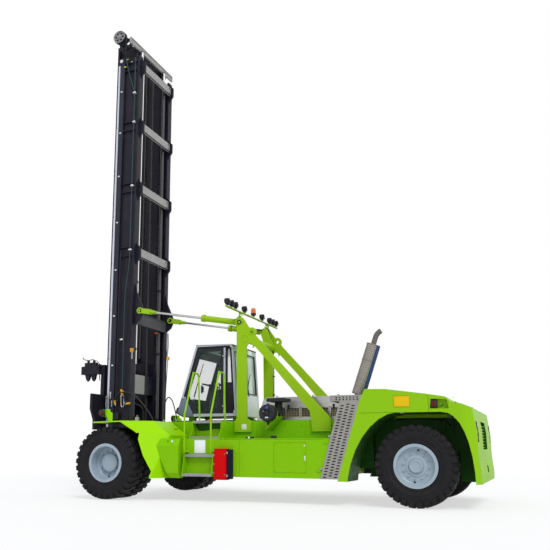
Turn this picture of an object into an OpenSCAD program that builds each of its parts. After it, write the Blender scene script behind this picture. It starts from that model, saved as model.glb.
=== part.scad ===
// Empty container handler: a lift truck with a tall two-stage mast.
// X points forward, Y to the driver's left, Z up. The origin lies on the ground, at the machine's middle.
// Places along X are measured from the front axle, and on_machine() moves them to the origin.

/* [Wheels] */
// Distance between the front and rear axles
wheelbase = 5780; // [5000:10:6600]
// Outer diameter of every tyre
tyre_d = 1370; // [1200:10:1450]
// Width of one tyre
tyre_w = 370; // [300:5:380]
// Diameter over the rim flanges
rim_d = 732; // [660:2:760]
// Distance between the middles of twin front tyres
twin_pitch = 430; // [400:5:440]
// Distance from the middle plane to the outer face of the outer front tyre
front_half_track = 2040; // [1980:10:2200]
// Distance from the middle plane to the middle of a rear tyre
rear_track_y = 1415; // [1380:5:1450]
// Distance from the middle plane to a steering pin
king_y = 1120; // [1080:5:1140]

/* [Chassis] */
// Distance from the front axle to the tip of the lift arms
front_reach = 1470; // [1400:10:1700]
// Distance from the rear axle to the back of the counterweight
rear_overhang = 1025; // [940:5:1500]
// Height of the chassis deck
deck_z = 1500; // [1450:10:1560]
// Distance from the middle plane to the outer face of a chassis beam
beam_y = 730; // [700:5:760]
// Width of a chassis beam
beam_w = 230; // [180:5:260]
// Underside of the chassis beams
beam_bottom_z = 620; // [560:10:700]
// Distance from the middle plane to the outer face of tanks and rear body
body_y = 1600; // [1500:10:1700]
// Top of the side tanks
tank_top_z = 1145; // [1050:5:1250]
// Underside of the side tanks
tank_bottom_z = 450; // [400:10:550]
// Sheet thickness of fenders and covers
sheet = 25; // [12:1:40]

/* [Mast] */
// Top of the outer mast's rails
mast_top_z = 10000; // [8500:10:12000]
// Bottom of the mast rails
mast_foot_z = 520; // [480:5:560]
// Distance from the middle plane to the outer face of an outer rail
rail_y = 800; // [780:2:820]
// Rear edge of the outer rails
rail_rear_x = 250; // [240:1:270]
// Front edge of the outer rails
rail_front_x = 830; // [800:5:860]
// Thickness of the rail flanges
flange_t = 50; // [35:1:55]
// Thickness of the rail webs
web_t = 35; // [25:1:40]
// Gap between sliding rails
rail_gap = 15; // [8:1:20]
// Outer radius of a lift cylinder
lift_r = 46; // [38:1:48]
// Radius of a lift rod
lift_rod_r = 34; // [25:1:34]
// Height of a crossbeam
crossbeam_h = 215; // [180:5:260]
// Number of the outer mast's upper crossbeams
crossbeam_count = 4; // [3:1:5]
// Distance between the upper crossbeams
crossbeam_pitch = 1500; // [1200:10:1550]
// From the top of the outer rails down to the underside of the top crossbeam
top_beam_drop = 360; // [300:5:500]
// How far the inner rails stand above the outer ones
head_rise = 370; // [330:5:500]

/* [Tilt] */
// Height of the mast's foot pin
foot_pin_z = 700; // [680:5:720]
// Distance of the mast's foot pin in front of the axle
foot_pin_x = 450; // [430:5:470]
// Radius of the mast's foot pin
foot_pin_r = 60; // [45:1:65]
// Place of the rod's eye on the mast
rod_eye_x = 100; // [90:5:120]
// Height of the rod's eye on the mast
rod_eye_z = 3900; // [3800:10:4000]
// Distance of the tilt cylinder's pin behind the axle
tilt_pin_x = 2270; // [2240:5:2300]
// Height of the tilt cylinder's pin
tilt_pin_z = 3476; // [3440:2:3520]
// Distance from the middle plane to a tilt cylinder
tilt_y = 690; // [685:1:692]
// Outer radius of a tilt cylinder
tilt_r = 62; // [50:1:64]
// Radius of a tilt rod
tilt_rod_r = 25; // [18:1:30]
// Length of a tilt cylinder from its pin to its gland
tilt_barrel_l = 885; // [800:5:1000]

/* [Cab] */
// Half the width of the cab
cab_y = 650; // [600:5:660]
// Underside of the cab
cab_floor_z = 1600; // [1580:5:1640]
// Height of the cab's roof at its front
cab_roof_z = 3068; // [2900:2:3200]
// Thickness of the cab's walls
cab_wall = 45; // [35:1:60]
// Thickness of the window glass
glass_t = 8; // [5:1:12]
// Gap round the cab door
door_gap = 6; // [5:1:10]

/* [Body] */
// Height where the rear fenders meet the upper rear body
belt_z = 1570; // [1540:5:1600]
// Height of the hood at its front
hood_z = 1980; // [1900:5:2100]
// Half the width of the opening hood
hood_y = 700; // [640:5:740]
// Distance of the hood's hinge behind the rear axle
hood_hinge_back = 565; // [555:1:570]
// Height of the hood's hinge
hood_hinge_z = 1780; // [1770:2:1790]
// Distance from the rear axle to the joint between rear body and counterweight
weight_back = 608; // [590:2:640]
// Radius of the counterweight's rear corners
weight_corner_r = 280; // [150:10:400]

/* [Hidden] */
$fn = 48;

lime = [0.52, 0.78, 0.05];
olive = [0.55, 0.72, 0.15];
mast_black = [0.13, 0.13, 0.16];
steel = [0.62, 0.62, 0.62];
chrome = [0.8, 0.8, 0.82];
rim_grey = [0.62, 0.68, 0.74];
rubber = [0.08, 0.08, 0.09];
dark = [0.1, 0.1, 0.11];
glass = [0.6, 0.75, 0.72, 0.4];
cab_grey = [0.6, 0.62, 0.66];

seat_gap = 0.3; // between pieces that seat on each other
run_gap = 0.08; // shaft in its bearing
slide_gap = 1; // rod in its cylinder
eye_gap = 12; // rod's eye round its pin, where the linkage is opened
tyre_r = tyre_d / 2;
rim_r = rim_d / 2;
axle_z = tyre_r;
rear_x = -wheelbase;
rear_reach = wheelbase + rear_overhang;
weight_x = wheelbase + weight_back;
hood_hinge_x = wheelbase + hood_hinge_back;
machine_x = (rear_reach - front_reach) / 2; // the front axle's place in the model
outer_twin_y = front_half_track - tyre_w / 2;
inner_twin_y = outer_twin_y - twin_pitch;
beam_in_y = beam_y - beam_w;
tilt_span = norm([rod_eye_x + tilt_pin_x, rod_eye_z - tilt_pin_z]);
tilt_slope = atan2(rod_eye_z - tilt_pin_z, rod_eye_x + tilt_pin_x);

module on_machine() {
    translate([machine_x, 0, 0]) children();
}

module both_sides() {
    children();
    mirror([0, 1, 0]) children();
}

// A flat plate whose outline lies in X and Z, between two places along Y
module plate_xz(y0, y1) {
    translate([0, y1, 0]) rotate([90, 0, 0]) linear_extrude(y1 - y0) children();
}

// A box from one corner to the other
module block(low, high) {
    translate(low) cube(high - low);
}

// A round bar between two points
module bar(a, b, r) {
    d = b - a;
    translate(a) rotate([0, acos(d.z / norm(d)), atan2(d.y, d.x)]) cylinder(h = norm(d), r = r);
}

function unit(v) = v / norm(v);

// How much of a straight a bend between two directions takes up
function bend_cut(u, v, bend) = bend * tan(acos(u * v) / 2);

// A tube through a list of points, with a round bend at each inner point
module tube(points, r, bend) {
    last = len(points) - 1;
    dirs = [for (i = [0:last - 1]) unit(points[i + 1] - points[i])];
    for (i = [0:last - 1]) {
        cut_a = i == 0 ? 0 : bend_cut(dirs[i - 1], dirs[i], bend);
        cut_b = i == last - 1 ? 0 : bend_cut(dirs[i], dirs[i + 1], bend);
        bar(points[i] + cut_a * dirs[i], points[i + 1] - cut_b * dirs[i], r);
    }
    for (i = [1:last - 1]) {
        cut = bend_cut(dirs[i - 1], dirs[i], bend);
        elbow(points[i], dirs[i - 1], dirs[i], r, bend);
        for (step = [-cut * dirs[i - 1], cut * dirs[i]]) {
            d = 4 * unit(step);
            bar(points[i] + step - d, points[i] + step + d, r + 0.6); // weld
        }
    }
}

// The round bend of a tube at a corner, from direction u to direction v
module elbow(corner, u, v, r, bend) {
    turn = acos(u * v);
    n = unit(v - (u * v) * u);
    k = cross(u, n);
    c = corner - bend_cut(u, v, bend) * u + bend * n;
    multmatrix([
        [-n.x, u.x, k.x, c.x],
        [-n.y, u.y, k.y, c.y],
        [-n.z, u.z, k.z, c.z],
        [0, 0, 0, 1]
    ]) rotate_extrude(angle = turn) translate([bend, 0]) circle(r = r);
}

// A round pin along Y
module pin_y(x, z, y0, y1, r) {
    translate([x, y1, z]) rotate([90, 0, 0]) cylinder(h = y1 - y0, r = r);
}

// ---- Chassis ----

neck_y = 560; // half width of the chassis between the steered wheels
neck_x = rear_x + 880; // where the beams give way to the narrow neck
beam_front_x = 100;
king_r = 40; // radius of a steering pin
saddle_z = axle_z + 215; // underside of the rear axle's saddle
neck_bottom_z = 900;
hub_r = 90; // radius of an axle's end in its hub

module beam_side() {
    polygon([
        [beam_front_x, 900], [beam_front_x, deck_z], [neck_x, deck_z], [neck_x, beam_bottom_z],
        [-700, beam_bottom_z], [-450, 900]
    ]);
}

module neck_side() {
    polygon([
        [neck_x + 250, beam_bottom_z], [neck_x + 250, deck_z],
        [-weight_x, deck_z], [-weight_x, neck_bottom_z],
        [rear_x + 530, neck_bottom_z], [rear_x + 730, beam_bottom_z]
    ]);
}

module chassis() {
    color(lime) on_machine() {
        both_sides() {
            plate_xz(beam_in_y, beam_y) beam_side();
            plate_xz(neck_y - beam_w, neck_y) neck_side();
        }
        for (x = [-450, -2600, rear_x + 980])
            block([x - 80, -beam_in_y, 900], [x + 80, beam_in_y, deck_z - 20]);
        block([rear_x - 470, -neck_y + beam_w, 950], [rear_x - 320, neck_y - beam_w, deck_z - 20]);
        block([rear_x - 230, -neck_y + beam_w, saddle_z], [rear_x + 230, neck_y - beam_w, saddle_z + 160]);
        block([-2420, -beam_in_y, deck_z - 20], [-300, beam_in_y, deck_z]);
        for (x = [-1050, -2050])
            both_sides() block([x - 60, 330, deck_z], [x + 60, 450, cab_floor_z - seat_gap]);
    }
}

engine_x = -3000; // front face of the engine
shaft_rear_z = 820; // height of the propeller shaft at the engine
function shaft_z(x) = axle_z + (shaft_rear_z - axle_z) * (x + 120) / (engine_x + 120);

module front_axle() {
    axle_r = 170;
    differential_r = 290;
    color(dark) on_machine() {
        pin_y(0, axle_z, -inner_twin_y + 170, inner_twin_y - 170, axle_r);
        translate([-120, 0, axle_z]) sphere(r = differential_r);
        bar([-120, 0, axle_z], [engine_x + 25, 0, shaft_rear_z], 45);
        bar([-420, 0, shaft_z(-420)], [-380, 0, shaft_z(-380)], 95);
        translate([engine_x + seat_gap, 0, shaft_rear_z]) rotate([0, 90, 0]) cylinder(h = 50, r = 95);
        both_sides() {
            pin_y(0, axle_z, inner_twin_y - 180, inner_twin_y, hub_r);
            block([-160, beam_in_y, axle_z], [beam_front_x, beam_y, 900]);
            plate_xz(rail_y + 12, rail_y + 80) {
                translate([-120, axle_z - 130]) square([120 + foot_pin_x, 240]);
                translate([foot_pin_x, foot_pin_z]) circle(r = foot_pin_r + 70);
            }
            pin_y(foot_pin_x, foot_pin_z, rail_y - 100, rail_y + 80, foot_pin_r);
        }
    }
}

module steer_axle() {
    yoke_r = 85;
    yoke_t = 60;
    color(dark) on_machine() translate([rear_x, 0, 0]) {
        block([-130, -king_y + 110, axle_z - 120], [130, king_y - 110, axle_z + 120]);
        block([-200, -180, axle_z + 120], [200, 180, saddle_z]);
        both_sides() {
            for (z = [axle_z - yoke_r - 6 - yoke_t, axle_z + yoke_r + 6]) {
                translate([0, king_y, z]) cylinder(h = yoke_t, r = yoke_r);
                block([-yoke_r, king_y - 130, z], [yoke_r, king_y, z + yoke_t]);
            }
            translate([0, king_y, axle_z - yoke_r - 30]) cylinder(h = 2 * yoke_r + 60, r = king_r);
        }
    }
}

// ---- Side tanks, fenders and A-frames ----

tail_x = -1165; // rear end of a front fender
tank_front_x = tail_x - seat_gap;
slope_bottom_x = rear_x + 1630; // front edge of the step plate at the tank's underside
slope_top_x = rear_x + 1251; // the same edge at the top of the step plate
step_top_z = 1780;
slope_run = (slope_top_x - slope_bottom_x) / (step_top_z - tank_bottom_z);
function slope_x(z) = slope_bottom_x + (z - tank_bottom_z) * slope_run;

// The locker in front of the steps, with its bevelled lid and sill; the fender cuts its front end
module side_locker() {
    lid_z = tank_top_z - 135;
    sill_z = tank_bottom_z + 65;
    low_z = tank_bottom_z - 33;
    out_y = body_y + 200;
    bevel_y = body_y + 125;
    difference() {
        intersection() {
            plate_xz(body_y, out_y) polygon([
                [-900, tank_top_z], [-1465, tank_top_z], [-1465, low_z], [-1262, low_z], [-1213, sill_z],
                [-955, lid_z]
            ]);
            translate([-1500, 0, 0]) rotate([90, 0, 90]) linear_extrude(700) polygon([
                [body_y - 1, tank_top_z], [bevel_y, tank_top_z], [out_y, lid_z], [out_y, sill_z],
                [bevel_y, low_z], [body_y - 1, low_z]
            ]);
        }
        translate([-2, 0, 0]) fender_form(0);
    }
}

module side_tanks() {
    lug_z = [tank_bottom_z + 120, tank_top_z - 90];
    color(lime) on_machine() {
        both_sides() {
            difference() {
                plate_xz(beam_y, body_y) polygon([
                    [tank_front_x, tank_bottom_z], [tank_front_x, tank_top_z],
                    [slope_x(tank_top_z) - seat_gap, tank_top_z], [slope_bottom_x - seat_gap, tank_bottom_z]
                ]);
                block([slope_bottom_x + 250, body_y - 6, tank_bottom_z + 90],
                    [slope_bottom_x + 860, body_y + 10, tank_top_z - 70]);
            }
            block([slope_bottom_x + 256, body_y - 6, tank_bottom_z + 96],
                [slope_bottom_x + 854, body_y + 3, tank_top_z - 76]);
            for (z = lug_z) block([slope_x(z) + 20, body_y, z], [slope_x(z) + 90, body_y + 14, z + 40]);
        }
        side_locker();
    }
}

fender_in_y = 860;
fender_front_x = 330;

module fender_outline(x1, x2, knee_z, x3, drop) {
    polygon([
        [fender_front_x, deck_z - 30 - drop], [x1, deck_z - 15 - drop], [x2, knee_z - drop], [x3, 410],
        [fender_front_x + 10, 410]
    ]);
}

module fender_form(t) {
    edge_y = front_half_track - 50 + t;
    translate([t, 0, 0]) hull() {
        plate_xz(fender_in_y - t, body_y) fender_outline(-800, tail_x, 1210, tail_x, t);
        plate_xz(edge_y, edge_y + 1) fender_outline(-280, -645, 1280, -970, t);
    }
}

// A bracket for a front lamp, on the corner of a fender
module lamp_bracket() {
    foot_z = deck_z - 40;
    translate([0, 1500, 0]) {
        plate_xz(-6, 6) polygon([
            [200, foot_z], [322, foot_z], [322, 1530], [386, 1600], [386, 1735], [262, 1735], [262, 1690],
            [202, 1650]
        ]);
        block([380, -75, 1590], [386, 75, 1735]);
    }
}

module front_fenders() {
    color(lime) on_machine() both_sides() {
        difference() {
            fender_form(0);
            translate([0, 0, -0.01]) fender_form(sheet);
            block([-700, fender_in_y - 60, 300], [fender_front_x + 80, front_half_track + 50, 1250]);
        }
        lamp_bracket();
    }
}

frame_t = 40; // thickness of an A-frame plate
tilt_pin_r = 40;
tilt_boss_r = 110;
tie_x = -2400; // tube that ties the two A-frames
tie_z = 3130;
tie_r = 75;
eye_x = -2538;
eye_z = 3255;

module a_frame_outline() {
    difference() {
        union() {
            polygon([
                [-2166, 1285], [-2166, 1490], [-2210, 1540], [-2210, 3400], [-2180, 3440], [-2250, 3580],
                [-2330, 3570], [-2470, 3370], [-2686, 3108], [-4128, 1525], [-4122, 1287], [-3756, 1287],
                [-3722, 1661], [-2993, 2533], [-2560, 3010], [-2420, 2950], [-2430, 1540], [-2528, 1490],
                [-2528, 1285]
            ]);
            translate([-tilt_pin_x, tilt_pin_z]) circle(r = tilt_boss_r);
            translate([eye_x, eye_z]) circle(r = 95);
            translate([-2500, 3010]) circle(r = 90);
        }
        translate([-2491, 2960]) circle(r = 68);
        translate([eye_x, eye_z]) circle(r = 32);
    }
}

module a_frames() {
    color(olive) on_machine() {
        both_sides() {
            plate_xz(beam_y, beam_y + frame_t) a_frame_outline();
            pin_y(-tilt_pin_x, tilt_pin_z, tilt_y - 80, beam_y + frame_t + 15, tilt_pin_r);
            plate_xz(tilt_y - 80, tilt_y - 40) hull() {
                translate([-tilt_pin_x, tilt_pin_z]) circle(r = 85);
                translate([tie_x, tie_z]) circle(r = tie_r + 20);
            }
        }
        pin_y(tie_x, tie_z, -beam_y, beam_y, tie_r);
    }
}

// ---- Cab ----

cab_outline = [
    [-960, cab_floor_z], [-815, cab_floor_z + 80], [-850, cab_floor_z + 190], [-1240, cab_roof_z],
    [-2055, cab_roof_z - 22], [-2150, cab_floor_z]
];
cab_inside = [
    [-990, cab_floor_z + cab_wall], [-880, cab_floor_z + 110], [-907, cab_floor_z + 190],
    [-1275, cab_roof_z - cab_wall], [-2012, cab_roof_z - 22 - cab_wall], [-2102, cab_floor_z + cab_wall]
];
pillar_x = -1870; // hinge pillar of the door
screen_lean = (1240 - 850) / (cab_roof_z - cab_floor_z - 190);
function screen_x(z) = -850 - (z - cab_floor_z - 190) * screen_lean;
door_low_z = cab_floor_z + 55;
door_high_z = cab_roof_z - 75;
hinge_x = pillar_x + 14;
hinge_y = cab_y + 12;
hinge_r = 11;
hinge_pin_r = 6;
hinge_z = [door_low_z + 160, door_high_z - 160];

// Outline of the side opening, narrowed by e all round
module side_opening(e) {
    polygon([
        [pillar_x + e, door_low_z + e], [pillar_x + e, door_high_z - e],
        [screen_x(door_high_z) - 75 - e, door_high_z - e], [screen_x(2030) - 75 - e, 2030],
        [-1190 - e, door_low_z + e]
    ]);
}

module quarter_opening(e) {
    polygon([
        [-1935 - e, door_low_z + 60 + e], [-1935 - e, door_high_z - e], [-2020 + e, door_high_z - e],
        [-2088 + e, door_low_z + 60 + e]
    ]);
}

screen_half = cab_y - 75;
rear_window_low = cab_floor_z + 480;

// A flat slab along the windscreen, from depth d0 to d1 behind its outer face
module screen_slab(d0, d1, half, low, high) {
    plate_xz(-half, half) polygon([
        [screen_x(low) - d0, low], [screen_x(high) - d0, high], [screen_x(high) - d1, high],
        [screen_x(low) - d1, low]
    ]);
}

module rear_opening(e, x0, x1) {
    block([x0, -cab_y + 110 + e, rear_window_low + e], [x1, cab_y - 110 - e, cab_roof_z - 140 - e]);
}

module cab_shell() {
    color(cab_grey) on_machine() difference() {
        plate_xz(-cab_y, cab_y) polygon(cab_outline);
        plate_xz(-cab_y + cab_wall, cab_y - cab_wall) polygon(cab_inside);
        plate_xz(-cab_y - 50, cab_y + 50) side_opening(0);
        plate_xz(-cab_y - 50, cab_y + 50) quarter_opening(0);
        screen_slab(-100, 200, screen_half, cab_floor_z + 240, cab_roof_z - 80);
        rear_opening(0, -2250, -1950);
    }
    color(cab_grey) on_machine() for (z = hinge_z) {
        translate([hinge_x, hinge_y, z - 25]) cylinder(h = 95, r = hinge_pin_r);
        translate([hinge_x, hinge_y, z - 25]) cylinder(h = 20, r = hinge_r);
        block([pillar_x - 40, cab_y, z - 25], [hinge_x, hinge_y + hinge_r, z - 5]);
    }
}

module cab_glass() {
    mid = cab_wall / 2;
    color(glass) on_machine() {
        screen_slab(mid, mid + glass_t, screen_half - seat_gap, cab_floor_z + 240 + seat_gap,
            cab_roof_z - 80 - seat_gap);
        plate_xz(-cab_y + mid, -cab_y + mid + glass_t) side_opening(seat_gap);
        both_sides() plate_xz(cab_y - mid - glass_t, cab_y - mid) quarter_opening(seat_gap);
        plate_xz(-cab_y + 110 + seat_gap, cab_y - 110 - seat_gap) polygon([
            [-2095, rear_window_low + seat_gap], [-2045, cab_roof_z - 140 - seat_gap],
            [-2045 + glass_t, cab_roof_z - 140 - seat_gap], [-2095 + glass_t, rear_window_low + seat_gap]
        ]);
    }
}

module cab_door() {
    rim_w = 62;
    color(dark) on_machine() difference() {
        union() {
            plate_xz(cab_y - cab_wall, cab_y) difference() {
                side_opening(door_gap);
                side_opening(rim_w);
            }
            for (z = hinge_z) {
                translate([hinge_x, hinge_y, z]) cylinder(h = 70, r = hinge_r);
                block([hinge_x, cab_y, z], [pillar_x + 55, cab_y + 10, z + 70]);
            }
        }
        for (z = hinge_z) translate([hinge_x, hinge_y, z - 10]) cylinder(h = 90, r = hinge_pin_r + run_gap);
    }
}

module cab_door_glass() {
    mid = cab_wall / 2;
    color(glass) on_machine() plate_xz(cab_y - mid - glass_t, cab_y - mid) side_opening(62 + seat_gap);
}

seat_x = -1760;

module driver_seat() {
    color(dark) on_machine() {
        block([seat_x - 240, -240, cab_floor_z + 370], [seat_x + 230, 240, cab_floor_z + 490]);
        plate_xz(-230, 230) polygon([
            [seat_x - 120, cab_floor_z + 490 + seat_gap], [seat_x - 235, cab_floor_z + 490 + seat_gap],
            [seat_x - 275, cab_floor_z + 1090], [seat_x - 185, cab_floor_z + 1090]
        ]);
    }
}

module cab_controls() {
    column_r = 40;
    column_l = 640;
    lean = 14;
    floor_z = cab_floor_z + cab_wall;
    color(dark) on_machine() {
        block([seat_x - 180, -170, floor_z], [seat_x + 180, 170, cab_floor_z + 370 - seat_gap]);
        both_sides() block([seat_x - 150, 260, floor_z], [seat_x + 330, 400, cab_floor_z + 560]);
        translate([-1130, 0, floor_z + column_r * sin(lean) + seat_gap]) rotate([0, -lean, 0]) {
            cylinder(h = column_l, r = column_r);
            translate([0, 0, column_l]) {
                rotate_extrude() translate([190, 0]) circle(r = 15);
                cylinder(h = 30, r = 50);
                for (a = [0, 120, 240]) rotate([0, 90, a]) cylinder(h = 185, r = 9);
            }
        }
    }
}

// ---- Steps, rails and boxes on the left side ----

step_x0 = -2140;
step_x1 = -1550;

// A tread: a channel with its lips down and rows of slots through its top
module tread(inner_y, outer_y, z) {
    depth = outer_y - inner_y;
    slots = 7;
    pitch = (step_x1 - step_x0 - 60) / slots;
    difference() {
        block([step_x0, inner_y, z - 35], [step_x1, outer_y, z]);
        block([step_x0 - 1, inner_y + 6, z - 36], [step_x1 + 1, outer_y - 6, z - 6]);
        for (i = [0:slots - 1], row = [0.3, 0.7])
            block([step_x0 + 42 + i * pitch, inner_y + row * depth - 12, z - 10],
                [step_x0 + 18 + (i + 1) * pitch, inner_y + row * depth + 12, z + 1]);
    }
}

module left_steps() {
    treads = [
        [body_y, body_y + 200, 500], [body_y, body_y + 100, 850], [body_y - 350, body_y - 100, 1180],
        [beam_y + 40, body_y - 220, deck_z - 18]
    ];
    side_t = 12;
    color(steel) on_machine() {
        for (t = treads) tread(t[0], t[1], t[2]);
        for (x = [step_x0 - side_t, step_x1]) translate([x, 0, 0]) rotate([90, 0, 90]) {
            linear_extrude(side_t) polygon([
                [body_y, 440], [body_y + 200, 465], [body_y + 200, 505], [body_y + 110, 860], [body_y, 900]
            ]);
            linear_extrude(side_t) difference() {
                polygon([
                    [beam_y, tank_top_z], [body_y - 100, tank_top_z], [body_y - 100, 1185],
                    [body_y - 220, 1290], [body_y - 220, deck_z - 14], [beam_y, deck_z - 14]
                ]);
                for (y = [beam_y + 120, body_y - 420]) translate([y, 1330]) circle(r = 55);
            }
        }
    }
}

rail_r = 17;
rail_points = [
    [body_y + seat_gap, 900], [body_y + 170, 900], [body_y + 170, 1600], [body_y - 180, 2410],
    [body_y - 410, 2410], [body_y - 480, deck_z - 16.4]
];

module handrails() {
    color(lime) on_machine() for (x = [step_x0 + 20, step_x1 - 20])
        tube([for (p = rail_points) [x, p[0], p[1]]], rail_r, 70);
}

module extinguisher_box() {
    color("red") on_machine() {
        block([-2420, body_y, 405], [-2180, body_y + 150, 955]);
        block([-2500, body_y, 420], [-2420, body_y + 130, 940]);
    }
}

// ---- Engine, covers and rear body ----

module engine() {
    color("dimgray") on_machine() {
        block([rear_x + 1130, -430, 700], [engine_x, 430, deck_z - 20]);
        block([rear_x + 1580, -330, deck_z - 20], [engine_x - 100, 330, 1830]);
        for (x = [rear_x + 1380, engine_x - 200])
            block([x - 60, -beam_in_y + seat_gap, 940], [x + 60, beam_in_y - seat_gap, 1040]);
    }
}

module engine_cover() {
    rear_end = rear_x + 1380;
    wall = 25;
    windows = 5;
    window_pitch = (-2880 - rear_end - 60) / windows;
    color(steel) on_machine() difference() {
        plate_xz(-620, 620) polygon([
            [-2580, deck_z], [-2720, 1900], [-2790, 1950], [rear_end, 1950], [rear_end, deck_z]
        ]);
        plate_xz(-620 + wall, 620 - wall) polygon([
            [-2640, deck_z - 10], [-2750, 1875], [-2800, 1925], [rear_end + wall, 1925],
            [rear_end + wall, deck_z - 10]
        ]);
        for (i = [0:windows - 1])
            block([rear_end + 60 + i * window_pitch, -700, deck_z + 60],
                [rear_end + 15 + (i + 1) * window_pitch, 700, 1740]);
        for (i = [0:8]) block([-3050 - i * 60, -300, 1900], [-3020 - i * 60, 300, 1960]);
    }
}

// A wheel arch's corner, from its foot up to its crown, as an oval of the given squareness
function arch_corner(x, foot, reach, rise, square) = [
    for (i = [0:8]) let (a = i * 90 / 8)
        [x + reach * pow(cos(a), 2 / square), foot + rise * pow(sin(a), 2 / square)]
];
arch_foot_z = 300;
arch_rise = belt_z - arch_foot_z;
rear_corner = arch_corner(rear_x - 450, arch_foot_z, -486, arch_rise, 2.3);
arch = concat(
    arch_corner(rear_x + 294, arch_foot_z, 866, arch_rise, 1.75), [for (i = [8:-1:0]) rear_corner[i]]
);

// Front edge of the rear body, leaning back behind the step plate
function strip_x(z) = rear_x + 1322 - (z - 410) * 0.309;

module rear_profile() {
    polygon([
        [strip_x(410), 410], [strip_x(1750), 1750], [rear_x + 805, hood_z], [rear_x + 450, hood_z - 10],
        [rear_x - 229, hood_z - 108], [rear_x - 527, hood_z - 160], [-weight_x, hood_z - 245],
        [-weight_x - 188, hood_z - 285], [-rear_reach + 88, hood_z - 345], [-rear_reach + 38, 1262],
        [-rear_reach + 33, 839], [-rear_reach, 527], [-rear_reach + 8, 404]
    ]);
}

module rear_body() {
    color(lime) on_machine() both_sides() difference() {
        plate_xz(neck_y, body_y + 20) rear_profile();
        plate_xz(neck_y - 10, body_y + 50) polygon(arch);
        block([-rear_reach - 200, neck_y - 20, 0], [-weight_x + seat_gap, body_y + 50, 2500]);
        block([rear_x - 550, neck_y - 20, deck_z - 100], [rear_x + 1080, hood_y + 8, 2500]);
        block([rear_x - 620, neck_y - 20, 0], [rear_x + 1580, beam_y + 120, deck_z + seat_gap]);
        plate_xz(body_y - 60, body_y + 50) polygon([
            [rear_x - 280, 1622], [rear_x - 300, 1788], [rear_x - 560, 1770], [rear_x - 582, 1622]
        ]);
    }
}

module hood() {
    color(lime) on_machine() difference() {
        union() {
            difference() {
                plate_xz(-hood_y, hood_y) hood_profile(0);
                plate_xz(-hood_y + sheet, hood_y - sheet) hood_profile(sheet);
            }
            both_sides() {
                pin_y(-hood_hinge_x, hood_hinge_z, 310, 400, 22);
                block([-hood_hinge_x, 310, hood_hinge_z - 22], [rear_x - 510, 400, hood_hinge_z]);
            }
        }
        both_sides() pin_y(-hood_hinge_x, hood_hinge_z, 300, 410, 12 + run_gap);
    }
}

// Section of the hood, shrunk by e on the outside and left open below
module hood_profile(e) {
    low_z = deck_z + 10 - e;
    polygon([
        [rear_x + 795 - e, low_z], [rear_x + 805 - e, hood_z - e], [rear_x + 450, hood_z - 10 - e],
        [rear_x - 229, hood_z - 108 - e], [rear_x - 520 + e, hood_z - 158 - e],
        [rear_x - 520 + e, hood_z - 260], [rear_x - 420 + e, low_z]
    ]);
}

module weight_plan() {
    w = body_y + 20;
    r = weight_corner_r;
    intersection() {
        union() {
            translate([-rear_reach + r, -w]) square([rear_reach, 2 * w]);
            translate([-rear_reach, -w + r]) square([rear_reach, 2 * (w - r)]);
            for (side = [-1, 1]) translate([-rear_reach + r, side * (w - r)]) circle(r = r);
        }
        translate([-rear_reach, -w]) square([rear_reach - weight_x, 2 * w]);
    }
}

module counterweight() {
    slats = 8;
    air_low_z = 960;
    air_high_z = 1440;
    color(lime) on_machine() {
        difference() {
            intersection() {
                plate_xz(-body_y - 20, body_y + 20) rear_profile();
                translate([0, 0, 300]) linear_extrude(2000) weight_plan();
            }
            both_sides() plate_xz(neck_y, body_y + 50) polygon(arch);
            both_sides() block([-rear_reach - 55, 1180, 1080], [-rear_reach + 65, 1420, 1420]);
            block([-rear_reach - 10, -430, air_low_z], [-weight_x + 10, 430, air_high_z]);
            block([-rear_reach - 10, -110, 560], [-rear_reach + 160, 110, 680]);
        }
        for (i = [0:slats - 1]) {
            z = air_low_z + 24 + i * (air_high_z - air_low_z - 48) / slats;
            plate_xz(-430, 430) polygon([
                [-rear_reach + 70, z], [-rear_reach + 70, z + 8], [-rear_reach + 150, z + 48],
                [-rear_reach + 150, z + 40]
            ]);
        }
        translate([-rear_reach + 70, 0, 500]) cylinder(h = 300, r = 28);
        both_sides() {
            pin_y(-hood_hinge_x, hood_hinge_z, 270, 440, 12);
            for (y = [270, 405]) {
                pin_y(-hood_hinge_x, hood_hinge_z, y, y + 35, 22);
                block([-weight_x - 20, y, 1690], [-hood_hinge_x, y + 35, hood_hinge_z]);
            }
        }
    }
}

// ---- Steps, gratings, exhaust and air cleaner ----

walk_x = rear_x + 1420; // front end of the walkway beside the engine cover
walk_z = step_top_z + 105; // top of the walkway
walk_rear_x = rear_x + 890;
// Front edge of the rear body above the step plate
function body_front_x(z) = strip_x(1750) + (z - 1750) * (rear_x + 805 - strip_x(1750)) / (hood_z - 1750);
slot_r = 10;

// A slot with round ends through a plate, its length along X
module slot(x, z, length) {
    rotate([90, 0, 0]) linear_extrude(40, center = true) {
        for (end = [x - length + slot_r, x - slot_r]) translate([end, z]) circle(r = slot_r, $fn = 16);
        translate([x - length + slot_r, z - slot_r]) square([length - 2 * slot_r, 2 * slot_r]);
    }
}

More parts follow.
